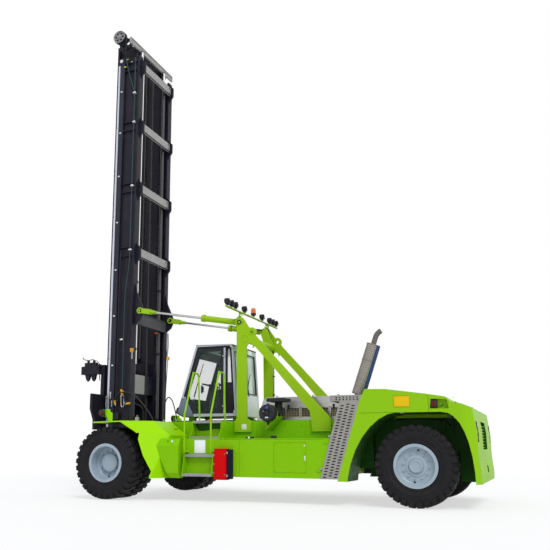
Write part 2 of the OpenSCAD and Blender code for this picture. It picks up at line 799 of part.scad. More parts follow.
module rear_steps() {
    rows = 26;
    row_pitch = (step_top_z - tank_bottom_z - 60) / rows;
    low_z = tank_bottom_z - 5;
    bays = floor((walk_x - walk_rear_x - 50) / 62);
    color(steel) on_machine() both_sides() {
        difference() {
            plate_xz(body_y + seat_gap, body_y + 20) polygon([
                [slope_x(low_z), low_z], [slope_x(step_top_z), step_top_z],
                [strip_x(step_top_z) + seat_gap, step_top_z], [strip_x(low_z) + seat_gap, low_z]
            ]);
            for (i = [0:rows - 1], j = [0:2]) {
                z = tank_bottom_z + 30 + (i + (j == 1 ? 0.5 : 0)) * row_pitch;
                translate([0, body_y + 10, 0]) slot(slope_x(z) - 38 - j * 98, z, 62);
            }
        }
        difference() {
            plate_xz(hood_y + 8, body_y + 20) polygon([
                [body_front_x(step_top_z) + 0.6, step_top_z + seat_gap], [walk_x, step_top_z + seat_gap],
                [walk_x, walk_z], [body_front_x(walk_z) + 0.6, walk_z]
            ]);
            block([walk_rear_x - 200, hood_y + 28, step_top_z - 1], [walk_x - 20, body_y, walk_z - 18]);
            for (i = [0:bays - 1]) {
                x = walk_rear_x + 30 + i * 62;
                for (j = [0:4]) block([x, 760 + j * 165, walk_z - 20], [x + 28, 890 + j * 165, walk_z + 1]);
                for (z = [step_top_z + 14, step_top_z + 52])
                    block([x, body_y - 5, z], [x + 28, body_y + 25, z + 26]);
            }
        }
    }
}

exhaust_x = rear_x + 1080;
exhaust_y = 1000;
exhaust_lean = 19;

module exhaust() {
    shield_r = 115;
    color(steel) on_machine() translate([exhaust_x, exhaust_y, walk_z + seat_gap]) {
        cylinder(h = 12, r = 125);
        difference() {
            rotate([0, -exhaust_lean, 0]) {
                translate([0, 0, -60]) cylinder(h = 160, r = 60);
                translate([0, 0, 60]) cylinder(h = 890, r = 85);
                for (z = [80, 860]) translate([0, 0, z]) cylinder(h = 20, r = shield_r - 3);
                translate([0, 0, 45]) difference() {
                    cylinder(h = 965, r = shield_r);
                    translate([0, 0, -10]) cylinder(h = 1000, r = shield_r - 7);
                    block([-130, -70, -20], [-40, 70, 1050]);
                }
                translate([0, 0, 940]) cylinder(h = 200, r = 48);
                translate([-200, 0, 1140]) rotate([90, 0, 0]) rotate_extrude(angle = 45)
                    translate([200, 0]) circle(r = 48);
            }
            translate([-200, -200, -200]) cube([400, 400, 205]);
        }
    }
}

air_x = -3025; // axis of the air cleaner
air_z = 1620;
air_r = 160;
air_end_y = 1250;

module air_cleaner() {
    intake_x = air_x - 155;
    color(dark) on_machine() {
        pin_y(air_x, air_z, beam_y + seat_gap, air_end_y - 70, air_r - 14);
        for (y = [beam_y + 120, air_end_y - 200]) pin_y(air_x, air_z, y, y + 40, air_r - 8);
        translate([air_x, air_end_y, air_z]) rotate([90, 0, 0]) rotate_extrude() polygon([
            [0, 24], [62, 24], [70, 0], [air_r - 20, 0], [air_r, 22], [air_r, 80], [0, 80]
        ]);
        translate([intake_x, 1000, air_z]) cylinder(h = 220, r = 72);
        translate([intake_x, 1000, 1835]) linear_extrude(60) difference() {
            translate([-190, -200]) square([380, 400]);
            for (a = [-1, 1], b = [-1, 1])
                translate([a * 190, b * 200]) rotate(45) square(60, center = true);
        }
        plate_xz(beam_y + seat_gap, beam_y + 300) polygon([
            [air_x + 100, 1310], [air_x + 140, air_z - 60], [air_x - 140, air_z - 60]
        ]);
    }
}

bar_z = 3690;
lamp_y = [500, 970, 1170, 1380];

module light_bar() {
    post_foot = tilt_pin_z + tilt_boss_r + seat_gap;
    color(dark) on_machine() translate([-tilt_pin_x, 0, 0]) {
        pin_y(0, bar_z, -1445, 1445, 20);
        both_sides() {
            translate([0, beam_y + frame_t / 2, post_foot]) cylinder(h = bar_z - post_foot, r = 18);
            for (y = lamp_y) {
                translate([0, y, bar_z]) cylinder(h = 70, r = 12);
                translate([-40, y, bar_z + 110]) rotate([0, 90, 0]) cylinder(h = 80, r = 55);
            }
        }
        translate([0, 0, bar_z]) cylinder(h = 80, r = 25);
        translate([0, 0, bar_z + 80]) cylinder(h = 110, r = 48);
    }
}

// ---- Outer mast ----

web_y = rail_y - 50; // outer face of the web
rib_y = rail_y - 4; // outer edge of the ribs across a web
rod_pin_r = 35;
crossbeam_z = [for (i = [0:crossbeam_count - 1]) mast_top_z - top_beam_drop - i * crossbeam_pitch];
beam_half = rail_y - 140; // half length of a crossbeam
beam_rear_x = rail_rear_x - 37;

// A gusset between a crossbeam's end and the back of a rail
module crossbeam_ear(z) {
    plate_xz(beam_half + seat_gap, beam_half + 40) polygon([
        [rail_rear_x + 1, z + 330], [rail_rear_x - 30, z + 270], [rail_rear_x - 105, z + 200],
        [rail_rear_x - 105, z - 20], [rail_rear_x - 40, z - 110], [rail_rear_x + 1, z - 200]
    ]);
}

module outer_rail_section() {
    polygon([
        [rail_rear_x, rail_y - 170], [rail_rear_x + flange_t, rail_y - 170],
        [rail_rear_x + flange_t, web_y - web_t], [rail_front_x - flange_t, web_y - web_t],
        [rail_front_x - flange_t, rail_y - 170], [rail_front_x, rail_y - 170], [rail_front_x, rail_y],
        [640, rail_y], [640, web_y], [rail_rear_x + flange_t, web_y], [rail_rear_x + flange_t, rail_y - 10],
        [rail_rear_x, rail_y - 10]
    ]);
}

module outer_rails() {
    color(mast_black) on_machine() both_sides() difference() {
        union() {
            translate([0, 0, mast_foot_z]) linear_extrude(mast_top_z - mast_foot_z) outer_rail_section();
            block([foot_pin_x - 130, web_y, mast_foot_z], [foot_pin_x + 130, rail_y, foot_pin_z + 200]);
            plate_xz(tilt_y - 20, tilt_y + 20) {
                polygon([
                    [rail_rear_x + 1, 4560], [rail_rear_x - 60, 4300], [50, 3990], [30, 3860], [90, 3720],
                    [rail_rear_x + 1, 3600]
                ]);
                translate([rod_eye_x, rod_eye_z]) circle(r = 75);
            }
            pin_y(rod_eye_x, rod_eye_z, tilt_y - 60, tilt_y + 60, rod_pin_r);
            for (z = crossbeam_z) {
                crossbeam_ear(z);
                for (rib_z = [z, z + crossbeam_h - 14])
                    block([rail_rear_x + flange_t - 1, web_y - 1, rib_z], [641, rib_y, rib_z + 14]);
            }
        }
        pin_y(foot_pin_x, foot_pin_z, rail_y - 150, rail_y + 10, foot_pin_r + run_gap);
    }
}

module outer_crossbeams() {
    color(steel) on_machine() {
        for (z = crossbeam_z) difference() {
            block([beam_rear_x, -beam_half, z], [rail_rear_x, beam_half, z + crossbeam_h]);
            block(
                [beam_rear_x + 15, -beam_half + 60, z + 15],
                [rail_rear_x + 1, beam_half - 60, z + crossbeam_h - 15]
            );
        }
        block([beam_rear_x, -beam_half, 3620], [rail_rear_x, beam_half, 3880]);
        block([beam_rear_x, -beam_half, 560], [rail_rear_x, beam_half, 860]);
        block([rail_rear_x, -560, 560], [rail_rear_x + 130, 560, 610]);
    }
}

lift_x = rail_rear_x + 92;
lift_y = rail_y - 270;

module lift_barrels() {
    color(chrome) on_machine() both_sides() difference() {
        translate([lift_x, lift_y, 610]) cylinder(h = mast_top_z - 610 - 100, r = lift_r);
        translate([lift_x, lift_y, 650]) cylinder(h = mast_top_z, r = lift_rod_r + slide_gap);
    }
}

module mast_pipes() {
    pipe_r = 12;
    pipe_y = rib_y + pipe_r + seat_gap;
    color(dark) on_machine() {
        bar([590, pipe_y, foot_pin_z + 200 + seat_gap], [590, pipe_y, min(crossbeam_z) + 160], pipe_r);
        bar([350, pipe_y, 5000], [350, pipe_y, mast_top_z - 60], pipe_r);
    }
}

// ---- Inner mast ----

inner_top_z = mast_top_z + head_rise;
inner_rear_x = rail_rear_x + flange_t + 100;
inner_front_x = rail_front_x + 30 + flange_t;
inner_out_y = web_y - web_t - rail_gap;
inner_web_y = rail_y - 170 - 10;

module inner_rail_section() {
    in_y = inner_out_y - 180;
    translate([inner_rear_x, in_y]) square([flange_t - 5, 180]);
    translate([inner_front_x - flange_t, in_y]) square([flange_t, 180]);
    translate([inner_rear_x + 1, inner_web_y - web_t]) square([inner_front_x - inner_rear_x - 2, web_t]);
}

module inner_rails() {
    color(mast_black) on_machine() both_sides()
        translate([0, 0, mast_foot_z + 100])
            linear_extrude(inner_top_z - mast_foot_z - 100) inner_rail_section();
}

inner_in_y = inner_out_y - 180;
head_x = inner_rear_x - 40; // rear face of the mast's head beam
head_h = 145;
head_half = 1010; // half length of the head beam
head_z = inner_top_z - head_h;
chain_x = 620;
chain_pin_r = 35;
pulley_r = 110;
drum_x = 690; // axis of the hose drum at the mast's head
drum_y = 890; // its inner face
drum_w = 125;
drum_z = inner_top_z + 70;
drum_r = 150;
drum_pin_r = 30;

module inner_crossbars() {
    color(steel) on_machine() {
        for (z = [inner_top_z - 330, 2150], h = z < 3000 ? 420 : 270)
            block(
                [inner_rear_x + 60, -inner_web_y + web_t + seat_gap, z],
                [inner_rear_x + 100, inner_web_y - web_t - seat_gap, z + h]
            );
        difference() {
            block([head_x, -head_half, head_z], [inner_rear_x - seat_gap, head_half, inner_top_z]);
            block(
                [head_x - 1, -head_half + 30, head_z + 18],
                [head_x + 14, head_half - 30, inner_top_z - 18]
            );
        }
        both_sides() {
            block([lift_x - 52, lift_y - 60, head_z], [head_x + 1, lift_y + 60, head_z + 30]);
            pin_y(chain_x, inner_top_z - 200, 295, 430, chain_pin_r);
            for (y = [295, 410])
                block([inner_rear_x + 99, y, inner_top_z - 260], [chain_x + 45, y + 20, inner_top_z - 150]);
        }
        plate_xz(drum_y - 45, drum_y - 5) difference() {
            union() {
                polygon([
                    [head_x + 39, head_z], [head_x + 39, inner_top_z], [drum_x - 60, drum_z + 60],
                    [drum_x + 40, drum_z + 70], [drum_x + 85, drum_z - 40], [drum_x + 40, head_z - 80],
                    [head_x + 200, head_z - 80]
                ]);
                translate([drum_x, drum_z]) circle(r = 75);
            }
            translate([520, inner_top_z - 60]) circle(r = 45);
        }
        pin_y(drum_x, drum_z, drum_y - 6, drum_y + drum_w + 12, drum_pin_r);
    }
}

module lift_rods() {
    color(chrome) on_machine() both_sides()
        translate([lift_x, lift_y, 660]) cylinder(h = head_z - 660 - seat_gap, r = lift_rod_r);
}

module lift_chains() {
    chain_z = inner_top_z - 200;
    color(dark) on_machine() both_sides() difference() {
        union() {
            block([chain_x - pulley_r, 330, 1500], [chain_x - pulley_r + 30, 390, chain_z]);
            block([chain_x + pulley_r - 30, 330, 3000], [chain_x + pulley_r, 390, chain_z]);
            pin_y(chain_x, chain_z, 325, 395, pulley_r);
        }
        pin_y(chain_x, chain_z, 300, 400, chain_pin_r + run_gap);
    }
}

module hose_sheave() {
    hole_r = 27;
    color(steel) on_machine() difference() {
        translate([drum_x, drum_y, drum_z]) rotate([-90, 0, 0]) rotate_extrude() polygon([
            [0, 0], [drum_r, 0], [drum_r, 10], [drum_r - 20, 16], [drum_r - 20, drum_w - 16],
            [drum_r, drum_w - 10], [drum_r, drum_w], [drum_r - 14, drum_w], [drum_r - 24, drum_w - 12],
            [60, drum_w - 12], [52, drum_w + 6], [0, drum_w + 6]
        ]);
        pin_y(drum_x, drum_z, drum_y - 20, drum_y + drum_w + 20, drum_pin_r + run_gap);
        for (a = [0:60:300])
            pin_y(drum_x + 90 * cos(a), drum_z + 90 * sin(a), drum_y - 20, drum_y + drum_w + 20, hole_r);
    }
}

// ---- Carriage ----

carriage_x = inner_front_x + 20;
roller_r = 118;

module carriage() {
    side_y = inner_in_y - 15;
    color(mast_black) on_machine() {
        both_sides() {
            block([carriage_x - 380, side_y - 40, 1450], [carriage_x, side_y, 2900]);
            block([carriage_x, side_y - 40, 1500], [carriage_x + 90, rail_y - 40, 2750]);
            for (z = [1650, 2700])
                pin_y(
                    inner_front_x - flange_t - roller_r - seat_gap, z,
                    side_y - 1, inner_web_y - web_t - 8, roller_r
                );
        }
        rotate([90, 0, 90]) translate([0, 0, carriage_x]) linear_extrude(60) polygon([
            [-1180, 2095], [1180, 2095], [1180, 1780], [1060, 1550], [1060, 1345], [-1060, 1345],
            [-1060, 1550], [-1180, 1780]
        ]);
        block([carriage_x, -side_y, 2450], [carriage_x + 60, side_y, 2740]);
    }
}

module lift_arms() {
    color(dark) on_machine() both_sides() {
        block([carriage_x + 90, rail_y - 60, 2540], [front_reach, rail_y + 60, 2712]);
        for (x = [1180, 1330]) plate_xz(rail_y - 30, rail_y + 30) polygon([
            [x - 70, 2540], [x + 60, 2540], [x + 30, 2440], [x - 10, 2390], [x - 50, 2440]
        ]);
        block([1100, rail_y - 40, 2712], [1400, rail_y + 40, 2800]);
    }
}

// ---- Tilt cylinders ----

module tilt_place() {
    on_machine() translate([-tilt_pin_x, tilt_y, tilt_pin_z]) rotate([0, -tilt_slope, 0]) children();
}

module tilt_barrel() {
    color(olive) tilt_place() difference() {
        union() {
            rotate([90, 0, 0]) translate([0, 0, -30]) cylinder(h = 60, r = 78);
            translate([0, -30, -50]) cube([180, 60, 100]);
            rotate([0, 90, 0]) translate([0, 0, 160]) cylinder(h = tilt_barrel_l - 160, r = tilt_r);
            rotate([0, 90, 0]) translate([0, 0, tilt_barrel_l - 70]) cylinder(h = 70, r = tilt_r + 13);
        }
        rotate([90, 0, 0]) translate([0, 0, -50]) cylinder(h = 100, r = tilt_pin_r + run_gap);
        rotate([0, 90, 0]) translate([0, 0, 220]) cylinder(h = tilt_barrel_l, r = tilt_rod_r + slide_gap);
    }
}

module tilt_rod() {
    rod_in = 520; // inner end of the rod, from the barrel's pin
    ear_gap = 26; // half of the fork's mouth
    color(chrome) tilt_place() difference() {
        union() {
            for (side = [-1, 1]) translate([tilt_span, side * (ear_gap + 13), 0]) {
                rotate([90, 0, 0]) translate([0, 0, -13]) cylinder(h = 26, r = 70);
                translate([-220, -13, -55]) cube([220, 26, 110]);
            }
            translate([tilt_span - 260, -52, -55]) cube([100, 104, 110]);
            rotate([0, 90, 0]) translate([0, 0, tilt_span - 360]) cylinder(h = 110, r = 42);
            rotate([0, 90, 0]) translate([0, 0, rod_in])
                cylinder(h = tilt_span - 250 - rod_in, r = tilt_rod_r);
        }
        translate([tilt_span, 0, 0]) rotate([90, 0, 0]) translate([0, 0, -80])
            cylinder(h = 160, r = rod_pin_r + eye_gap);
    }
}

module left_tilt_barrel() {
    tilt_barrel();
}

module right_tilt_barrel() {
    mirror([0, 1, 0]) tilt_barrel();
}

module left_tilt_rod() {
    tilt_rod();
}

module right_tilt_rod() {
    mirror([0, 1, 0]) tilt_rod();
}

// ---- Wheels ----

bead_r = rim_r - 28;
bead_h = tyre_w / 2 - 25; // half the width between a rim's flanges

// A tyre round the Y axis, its middle at the origin
module tyre() {
    h = tyre_w / 2;
    wall = tyre_r - rim_r; // height of a sidewall
    side = [
        [bead_r, bead_h], [rim_r + 10, bead_h], [rim_r + 0.14 * wall, h - 12], [rim_r + 0.4 * wall, h],
        [tyre_r - 0.28 * wall, h - 3], [tyre_r - 0.08 * wall, h - 22], [tyre_r, h - 55]
    ];
    color(rubber) rotate([90, 0, 0]) rotate_extrude()
        polygon(concat(side, [for (i = [len(side) - 1:-1:0]) [side[i].x, -side[i].y]]));
}

// A rim round the Y axis; its disc's outer face lies at disc_y, and its hub runs in to hub_y
module rim(disc_y, hub_y) {
    disc_t = 35;
    drum_r = 150;
    lip = 12;
    edge = bead_h + seat_gap;
    seat_r = bead_r - seat_gap;
    color(rim_grey) rotate([-90, 0, 0]) difference() {
        rotate_extrude() polygon([
            [0, hub_y], [drum_r, hub_y], [drum_r, disc_y - disc_t], [seat_r - 40, disc_y - disc_t],
            [seat_r - 25, -edge], [seat_r - 25, -edge - lip], [rim_r, -edge - lip], [rim_r, -edge],
            [seat_r, -edge], [seat_r, edge], [rim_r, edge], [rim_r, edge + lip], [seat_r - 25, edge + lip],
            [seat_r - 40, disc_y + 15], [seat_r - 60, disc_y], [drum_r - 20, disc_y],
            [drum_r - 35, disc_y + 40], [0, disc_y + 40]
        ]);
        translate([0, 0, hub_y - 10]) cylinder(h = disc_y - hub_y - 25, r = hub_r + run_gap);
    }
}

module twin_tyres(s) {
    on_machine() for (y = [inner_twin_y, outer_twin_y]) translate([0, s * y, axle_z]) tyre();
}

module twin_rims(s) {
    on_machine() translate([0, 0, axle_z]) mirror([0, s < 0 ? 1 : 0, 0]) {
        translate([0, outer_twin_y, 0]) rim(-40, -twin_pitch + 50);
        translate([0, inner_twin_y, 0]) rim(40, -160);
    }
}

module left_front_tyres() {
    twin_tyres(1);
}

module right_front_tyres() {
    twin_tyres(-1);
}

module left_front_rims() {
    twin_rims(1);
}

module right_front_rims() {
    twin_rims(-1);
}

module rear_place(s) {
    on_machine() mirror([0, s < 0 ? 1 : 0, 0]) translate([-wheelbase, rear_track_y, axle_z]) children();
}

module left_rear_tyre() {
    rear_place(1) tyre();
}

module right_rear_tyre() {
    rear_place(-1) tyre();
}

module left_rear_rim() {
    rear_place(1) rim(95, -80);
}

module right_rear_rim() {
    rear_place(-1) rim(95, -80);
}

module knuckle() {
    y0 = king_y - rear_track_y;
    color(dark) difference() {
        union() {
            translate([0, y0, -85]) cylinder(h = 170, r = 85);
            rotate([-90, 0, 0]) translate([0, 0, y0 + 40]) cylinder(h = 70, r = 80);
            rotate([-90, 0, 0]) translate([0, 0, y0 + 100]) cylinder(h = -y0 - 190, r = 110);
            rotate([-90, 0, 0]) translate([0, 0, y0 + 100]) cylinder(h = -y0 - 100 + 50, r = hub_r);
        }
        translate([0, y0, -100]) cylinder(h = 200, r = king_r + run_gap);
    }
}

module left_knuckle() {
    rear_place(1) knuckle();
}

module right_knuckle() {
    rear_place(-1) knuckle();
}

chassis();
front_axle();
steer_axle();
side_tanks();
front_fenders();
a_frames();
cab_shell();
cab_glass();
driver_seat();
cab_controls();
left_steps();
handrails();
extinguisher_box();
engine();
engine_cover();
rear_body();
hood();
counterweight();
rear_steps();
exhaust();
air_cleaner();
light_bar();
cab_door();
cab_door_glass();
outer_rails();
outer_crossbeams();
lift_barrels();
mast_pipes();
inner_rails();
inner_crossbars();
lift_rods();
lift_chains();
hose_sheave();
carriage();
lift_arms();
left_tilt_barrel();
left_tilt_rod();
right_tilt_barrel();
right_tilt_rod();
left_front_tyres();
left_front_rims();
right_front_tyres();
right_front_rims();
left_rear_tyre();
left_rear_rim();
right_rear_tyre();
right_rear_rim();
left_knuckle();
right_knuckle();
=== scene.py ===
import math

import bmesh
import bpy
from mathutils import Matrix, Vector
from mathutils.bvhtree import BVHTree


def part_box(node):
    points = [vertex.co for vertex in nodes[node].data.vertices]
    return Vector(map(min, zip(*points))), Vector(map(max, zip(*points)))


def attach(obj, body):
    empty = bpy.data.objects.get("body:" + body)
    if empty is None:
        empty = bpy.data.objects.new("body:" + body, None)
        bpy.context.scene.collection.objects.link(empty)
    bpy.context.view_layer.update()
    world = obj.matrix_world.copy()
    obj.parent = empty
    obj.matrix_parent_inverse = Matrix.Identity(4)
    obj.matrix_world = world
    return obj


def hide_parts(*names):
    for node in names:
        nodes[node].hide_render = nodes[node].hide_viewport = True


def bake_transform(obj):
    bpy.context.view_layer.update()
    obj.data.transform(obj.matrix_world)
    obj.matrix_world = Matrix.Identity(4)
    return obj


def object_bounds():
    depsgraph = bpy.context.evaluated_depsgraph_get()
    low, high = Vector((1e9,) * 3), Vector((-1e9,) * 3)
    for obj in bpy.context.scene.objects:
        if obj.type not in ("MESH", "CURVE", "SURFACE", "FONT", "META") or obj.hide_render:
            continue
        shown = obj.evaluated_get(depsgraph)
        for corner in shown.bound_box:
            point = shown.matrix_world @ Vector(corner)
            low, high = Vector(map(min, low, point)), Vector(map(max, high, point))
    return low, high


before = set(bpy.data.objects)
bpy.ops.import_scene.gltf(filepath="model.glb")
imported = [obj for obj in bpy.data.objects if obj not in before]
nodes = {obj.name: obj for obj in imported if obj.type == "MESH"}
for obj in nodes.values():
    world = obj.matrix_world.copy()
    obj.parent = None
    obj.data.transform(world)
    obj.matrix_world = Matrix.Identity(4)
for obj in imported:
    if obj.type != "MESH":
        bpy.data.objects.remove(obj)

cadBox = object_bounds()


def middle(node):
    low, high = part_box(node)
    return (low + high) / 2


frontX = middle("left_front_tyres").x
rearX = middle("left_rear_tyre").x
axleZ = middle("left_rear_tyre").z
tyreR = (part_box("left_rear_tyre")[1].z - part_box("left_rear_tyre")[0].z) / 2
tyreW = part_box("left_rear_tyre")[1].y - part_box("left_rear_tyre")[0].y
rimR = (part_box("left_rear_rim")[1].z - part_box("left_rear_rim")[0].z) / 2


def fromFront(x, y, z):
    # a place measured from the front axle, on the ground
    return Vector((frontX + x, y, z))


def operator(operation):
    return lambda value, other: value.maths(operation, other)


class Value:
    # one socket of a node, with the operators that the finishes need

    def __init__(self, graph, socket):
        self.graph = graph
        self.socket = socket

    def maths(self, operation, *others):
        return self.graph.add("ShaderNodeMath", {"operation": operation}, [self, *others])

    def __rsub__(self, other):
        return self.graph.add("ShaderNodeMath", {"operation": "SUBTRACT"}, [other, self])

    def part(self):
        return self.maths("FRACT")

    def clamped(self):
        return self.graph.add("ShaderNodeClamp", {}, [self])

    __add__ = __radd__ = operator("ADD")
    __mul__ = __rmul__ = operator("MULTIPLY")
    __sub__ = operator("SUBTRACT")
    __gt__ = operator("GREATER_THAN")
    __lt__ = operator("LESS_THAN")
    power = operator("POWER")


class Finish:
    # a material and its node tree

    def __init__(self, name):
        self.material = bpy.data.materials.new(name)
        self.material.use_nodes = True
        self.tree = self.material.node_tree
        self.shader = self.tree.nodes["Principled BSDF"]
        place = self.add("ShaderNodeTexCoord", {}, [])
        self.place = self.pick(place, "Object")
        self.normal = self.pick(place, "Normal")

    def add(self, kind, settings, values):
        node = self.tree.nodes.new(kind)
        for key, value in settings.items():
            if key == "stops":
                ramp = node.color_ramp
                ramp.elements[0].position, ramp.elements[0].color = value[0][0], (*value[0][1], 1)
                ramp.elements[1].position, ramp.elements[1].color = value[-1][0], (*value[-1][1], 1)
                for stop, colour in value[1:-1]:
                    ramp.elements.new(stop).color = (*colour, 1)
            else:
                setattr(node, key, value)
        pairs = values.items() if isinstance(values, dict) else enumerate(values)
        for key, value in pairs:
            self.join(node.inputs[key], value)
        out = [s for s in node.outputs if s.enabled]
        return Value(self, out[0])

    def pick(self, value, output):
        return Value(self, value.socket.node.outputs[output])

    def join(self, socket, value):
        if isinstance(value, Value):
            self.tree.links.new(value.socket, socket)
        elif socket.type == "RGBA" and len(value) == 3:
            socket.default_value = (*value, 1)
        else:
            socket.default_value = value

    def set(self, **values):
        for key, value in values.items():
            self.join(self.shader.inputs[key.replace("_", " ")], value)
        return self

    def mix(self, factor, a, b):
        return self.add("ShaderNodeMix", {"data_type": "RGBA"}, {0: factor, 6: a, 7: b})

    def noise(self, scale, detail=3.0, rough=0.5, squash=None):
        vector = self.place
        if squash:
            vector = self.add("ShaderNodeVectorMath", {"operation": "MULTIPLY"}, [self.place, squash])
        return self.add("ShaderNodeTexNoise", {"noise_dimensions": "3D"}, {"Vector": vector, "Scale": scale,
                "Detail": detail, "Roughness": rough})

    def axis(self, letter):
        split = self.add("ShaderNodeSeparateXYZ", {}, [self.place])
        return self.pick(split, letter)

    def facing(self, letter):
        split = self.add("ShaderNodeSeparateXYZ", {}, [self.normal])
        return self.pick(split, letter)

    def step(self, value, low, high):
        return self.add("ShaderNodeMapRange", {"clamp": True, "interpolation_type": "SMOOTHSTEP"},
                        [value, low, high, 0.0, 1.0])

    def bump(self, height, strength, distance=0.002):
        normal = self.add("ShaderNodeBump", {}, {"Height": height, "Strength": strength,
                                                 "Distance": distance})
        return self.set(Normal=normal)


paintLook = {
    "lime": (0.19, 0.47, 0.0),
    "limeDust": (0.25, 0.47, 0.006),
    "limeFront": (0.3, 0.64, 0.0),
    "limeHood": (0.235, 0.49, 0.006),
    # painted shade inside the wheel arches
    "arch": (0.014, 0.075, 0.006),
    "roughness": 0.38,
    "specular": 0.1,
    "coat": 0.0,
}


def limePaint(name="limePaint", colour=paintLook["lime"], dull=paintLook["limeDust"], arch=None):
    # arch: (x from the front axle, radius, half width, only faces towards the axle), painted shade
    f = Finish(name)
    cloud = f.noise(0.9, 4.0)
    fine = f.noise(55.0, 3.0, 0.6)
    low = 1 - f.step(f.axis("Z"), 0.35, 1.1)
    dust = (f.step(cloud, 0.42, 0.75) * 0.28 + low * f.step(f.noise(6.0, 5.0), 0.4, 0.7) * 0.35).clamped()
    paint = f.mix(dust, colour, dull)
    # painted shade: faces inside the wheel arch turn dark green, as the arch lies in shade
    if arch:
        x, radius, half, facing = arch
        across, up = f.axis("X") - (frontX + x), f.axis("Z") - axleZ
        away = (across * across + up * up).power(0.5)
        inside = (1 - f.step(away, radius - 0.01, radius + 0.01)) * (f.axis("Y").maths("ABSOLUTE") < half)
        toward = f.facing("X") * across + f.facing("Z") * up < -0.1
        beside = (f.facing("Y").maths("ABSOLUTE") > 0.7) * (f.axis("Y").maths("ABSOLUTE") < half - 0.385)
        inside = inside * (toward if facing else (toward + beside).clamped())
        paint = f.mix(inside, paint, paintLook["arch"])
    f.set(Base_Color=paint, Roughness=dust * 0.35 + fine * 0.08 + paintLook["roughness"] - 0.04)
    f.set(Coat_Weight=paintLook["coat"], Coat_Roughness=0.12, Specular_IOR_Level=paintLook["specular"])
    f.bump(f.noise(320.0, 1.0) * 0.4 + f.noise(2.2, 2.0), 0.06, 0.004)
    return f.material


def plainPaint(name, colour, worn, roughness, metallic=0.0, coat=0.0, grain=160.0, depth=0.1, gloss=0.35):
    f = Finish(name)
    patch = f.step(f.noise(3.1, 5.0), 0.45, 0.72)
    fleck = f.step(f.noise(90.0, 3.0, 0.7), 0.62, 0.74)
    wear = (patch * 0.45 + fleck * 0.3).clamped()
    f.set(Base_Color=f.mix(wear, colour, worn), Roughness=wear * 0.18 + roughness, Metallic=metallic)
    f.set(Coat_Weight=coat, Coat_Roughness=0.2, Specular_IOR_Level=gloss)
    f.bump(f.noise(grain, 3.0, 0.6), depth, 0.002)
    return f.material


def brushedMetal(name, colour, dark, roughness):
    f = Finish(name)
    streak = f.noise(14.0, 4.0, 0.6, (1, 1, 40))
    f.set(Base_Color=f.mix(f.step(streak, 0.3, 0.7), colour, dark), Metallic=1.0, Roughness=streak * 0.2
          + roughness)
    f.bump(streak, 0.08, 0.001)
    return f.material


def tyreRubber():
    f = Finish("tyreRubber")
    dust = f.step(f.noise(5.0, 5.0, 0.6), 0.4, 0.72)
    fine = f.noise(120.0, 4.0, 0.6)
    f.set(Base_Color=f.mix(dust * 0.6, (0.006, 0.006, 0.0075), (0.02, 0.019, 0.019)), Roughness=dust * 0.2
          + fine * 0.15 + 0.55, Specular_IOR_Level=0.2)
    f.bump(fine, 0.25, 0.002)
    return f.material


def twoFinish(name, split, below, above):
    # two looks on one node; below and above: (colour, worn, roughness, metallic)
    f = Finish(name)
    side = split(f)
    wear = f.step(f.noise(5.0, 4.0), 0.4, 0.75) * 0.5 + f.step(f.noise(80.0, 3.0), 0.6, 0.75) * 0.2
    low, high = (f.mix(wear, look[0], look[1]) for look in (below, above))
    f.set(Base_Color=f.mix(side, low, high), Metallic=side * (above[3] - below[3]) + below[3],
          Roughness=side * (above[2] - below[2]) + below[2] + wear * 0.1, Specular_IOR_Level=0.25)
    f.bump(f.noise(200.0, 3.0, 0.6), 0.08, 0.002)
    return f.material


def cabPaint():
    # silver outside; painted shade, near-black, on the faces that look into the cab
    f = Finish("cabSilver")
    inward = (f.axis("X") - (frontX - 1.55)) * f.facing("X") + f.axis("Y") * f.facing("Y") \
        + (f.axis("Z") - 2.3) * f.facing("Z") < 0.0
    wear = f.step(f.noise(3.1, 5.0), 0.45, 0.72) * 0.5
    nose = ((f.axis("Z") < 1.98) * (f.axis("X") > frontX - 1.2)).clamped()
    f.set(Base_Color=f.mix(inward, f.mix(nose, f.mix(wear, (0.42, 0.44, 0.49), (0.34, 0.36, 0.41)),
                                         (0.13, 0.16, 0.23)), (0.03, 0.032, 0.034)), Roughness=inward * 0.2
          + wear * 0.2 + 0.38, Specular_IOR_Level=0.35)
    f.bump(f.noise(160.0, 3.0, 0.6), 0.1, 0.002)
    return f.material


def windowGlass():
    f = Finish("windowGlass")
    smear = f.step(f.noise(2.0, 4.0), 0.45, 0.8)
    # painted reflection: rear glass lighter and less clear, with a paler band of reflected sky
    rear = (f.facing("X") < -0.5) * (f.axis("X") < frontX - 1.8)
    sky = f.step(f.axis("Y"), -0.43, -0.35) * (1.0 - f.step(f.axis("Y"), -0.24, -0.15))
    f.set(Base_Color=f.mix(rear, f.mix(smear, glassLook["tint"], glassLook["dust"]),
                           f.mix(sky, glassLook["sky"], (0.9, 0.94, 0.93))), Alpha=(smear * 0.05
            + rear * (sky * 0.6 + glassLook["rearReflectionAlpha"]) + glassLook["alpha"]).clamped(),
          Roughness=smear * 0.05 + 0.02, IOR=1.45, Specular_IOR_Level=0.35)
    return f.material


glassLook = {
    "tint": (0.07, 0.12, 0.108),
    "dust": (0.16, 0.21, 0.19),
    # painted sky reflection colour and strength for the rear glass
    "sky": (0.46, 0.62, 0.57),
    "alpha": 0.1,
    "rearReflectionAlpha": 0.5,
}


def glow(name, colour, strength, roughness=0.25):
    f = Finish(name)
    ridge = f.noise(60.0, 2.0)
    f.set(Base_Color=f.mix(ridge, colour, tuple(c * 0.75 for c in colour)), Roughness=ridge * 0.1
          + roughness)
    f.set(Emission_Color=colour, Emission_Strength=strength, Coat_Weight=0.5)
    return f.material


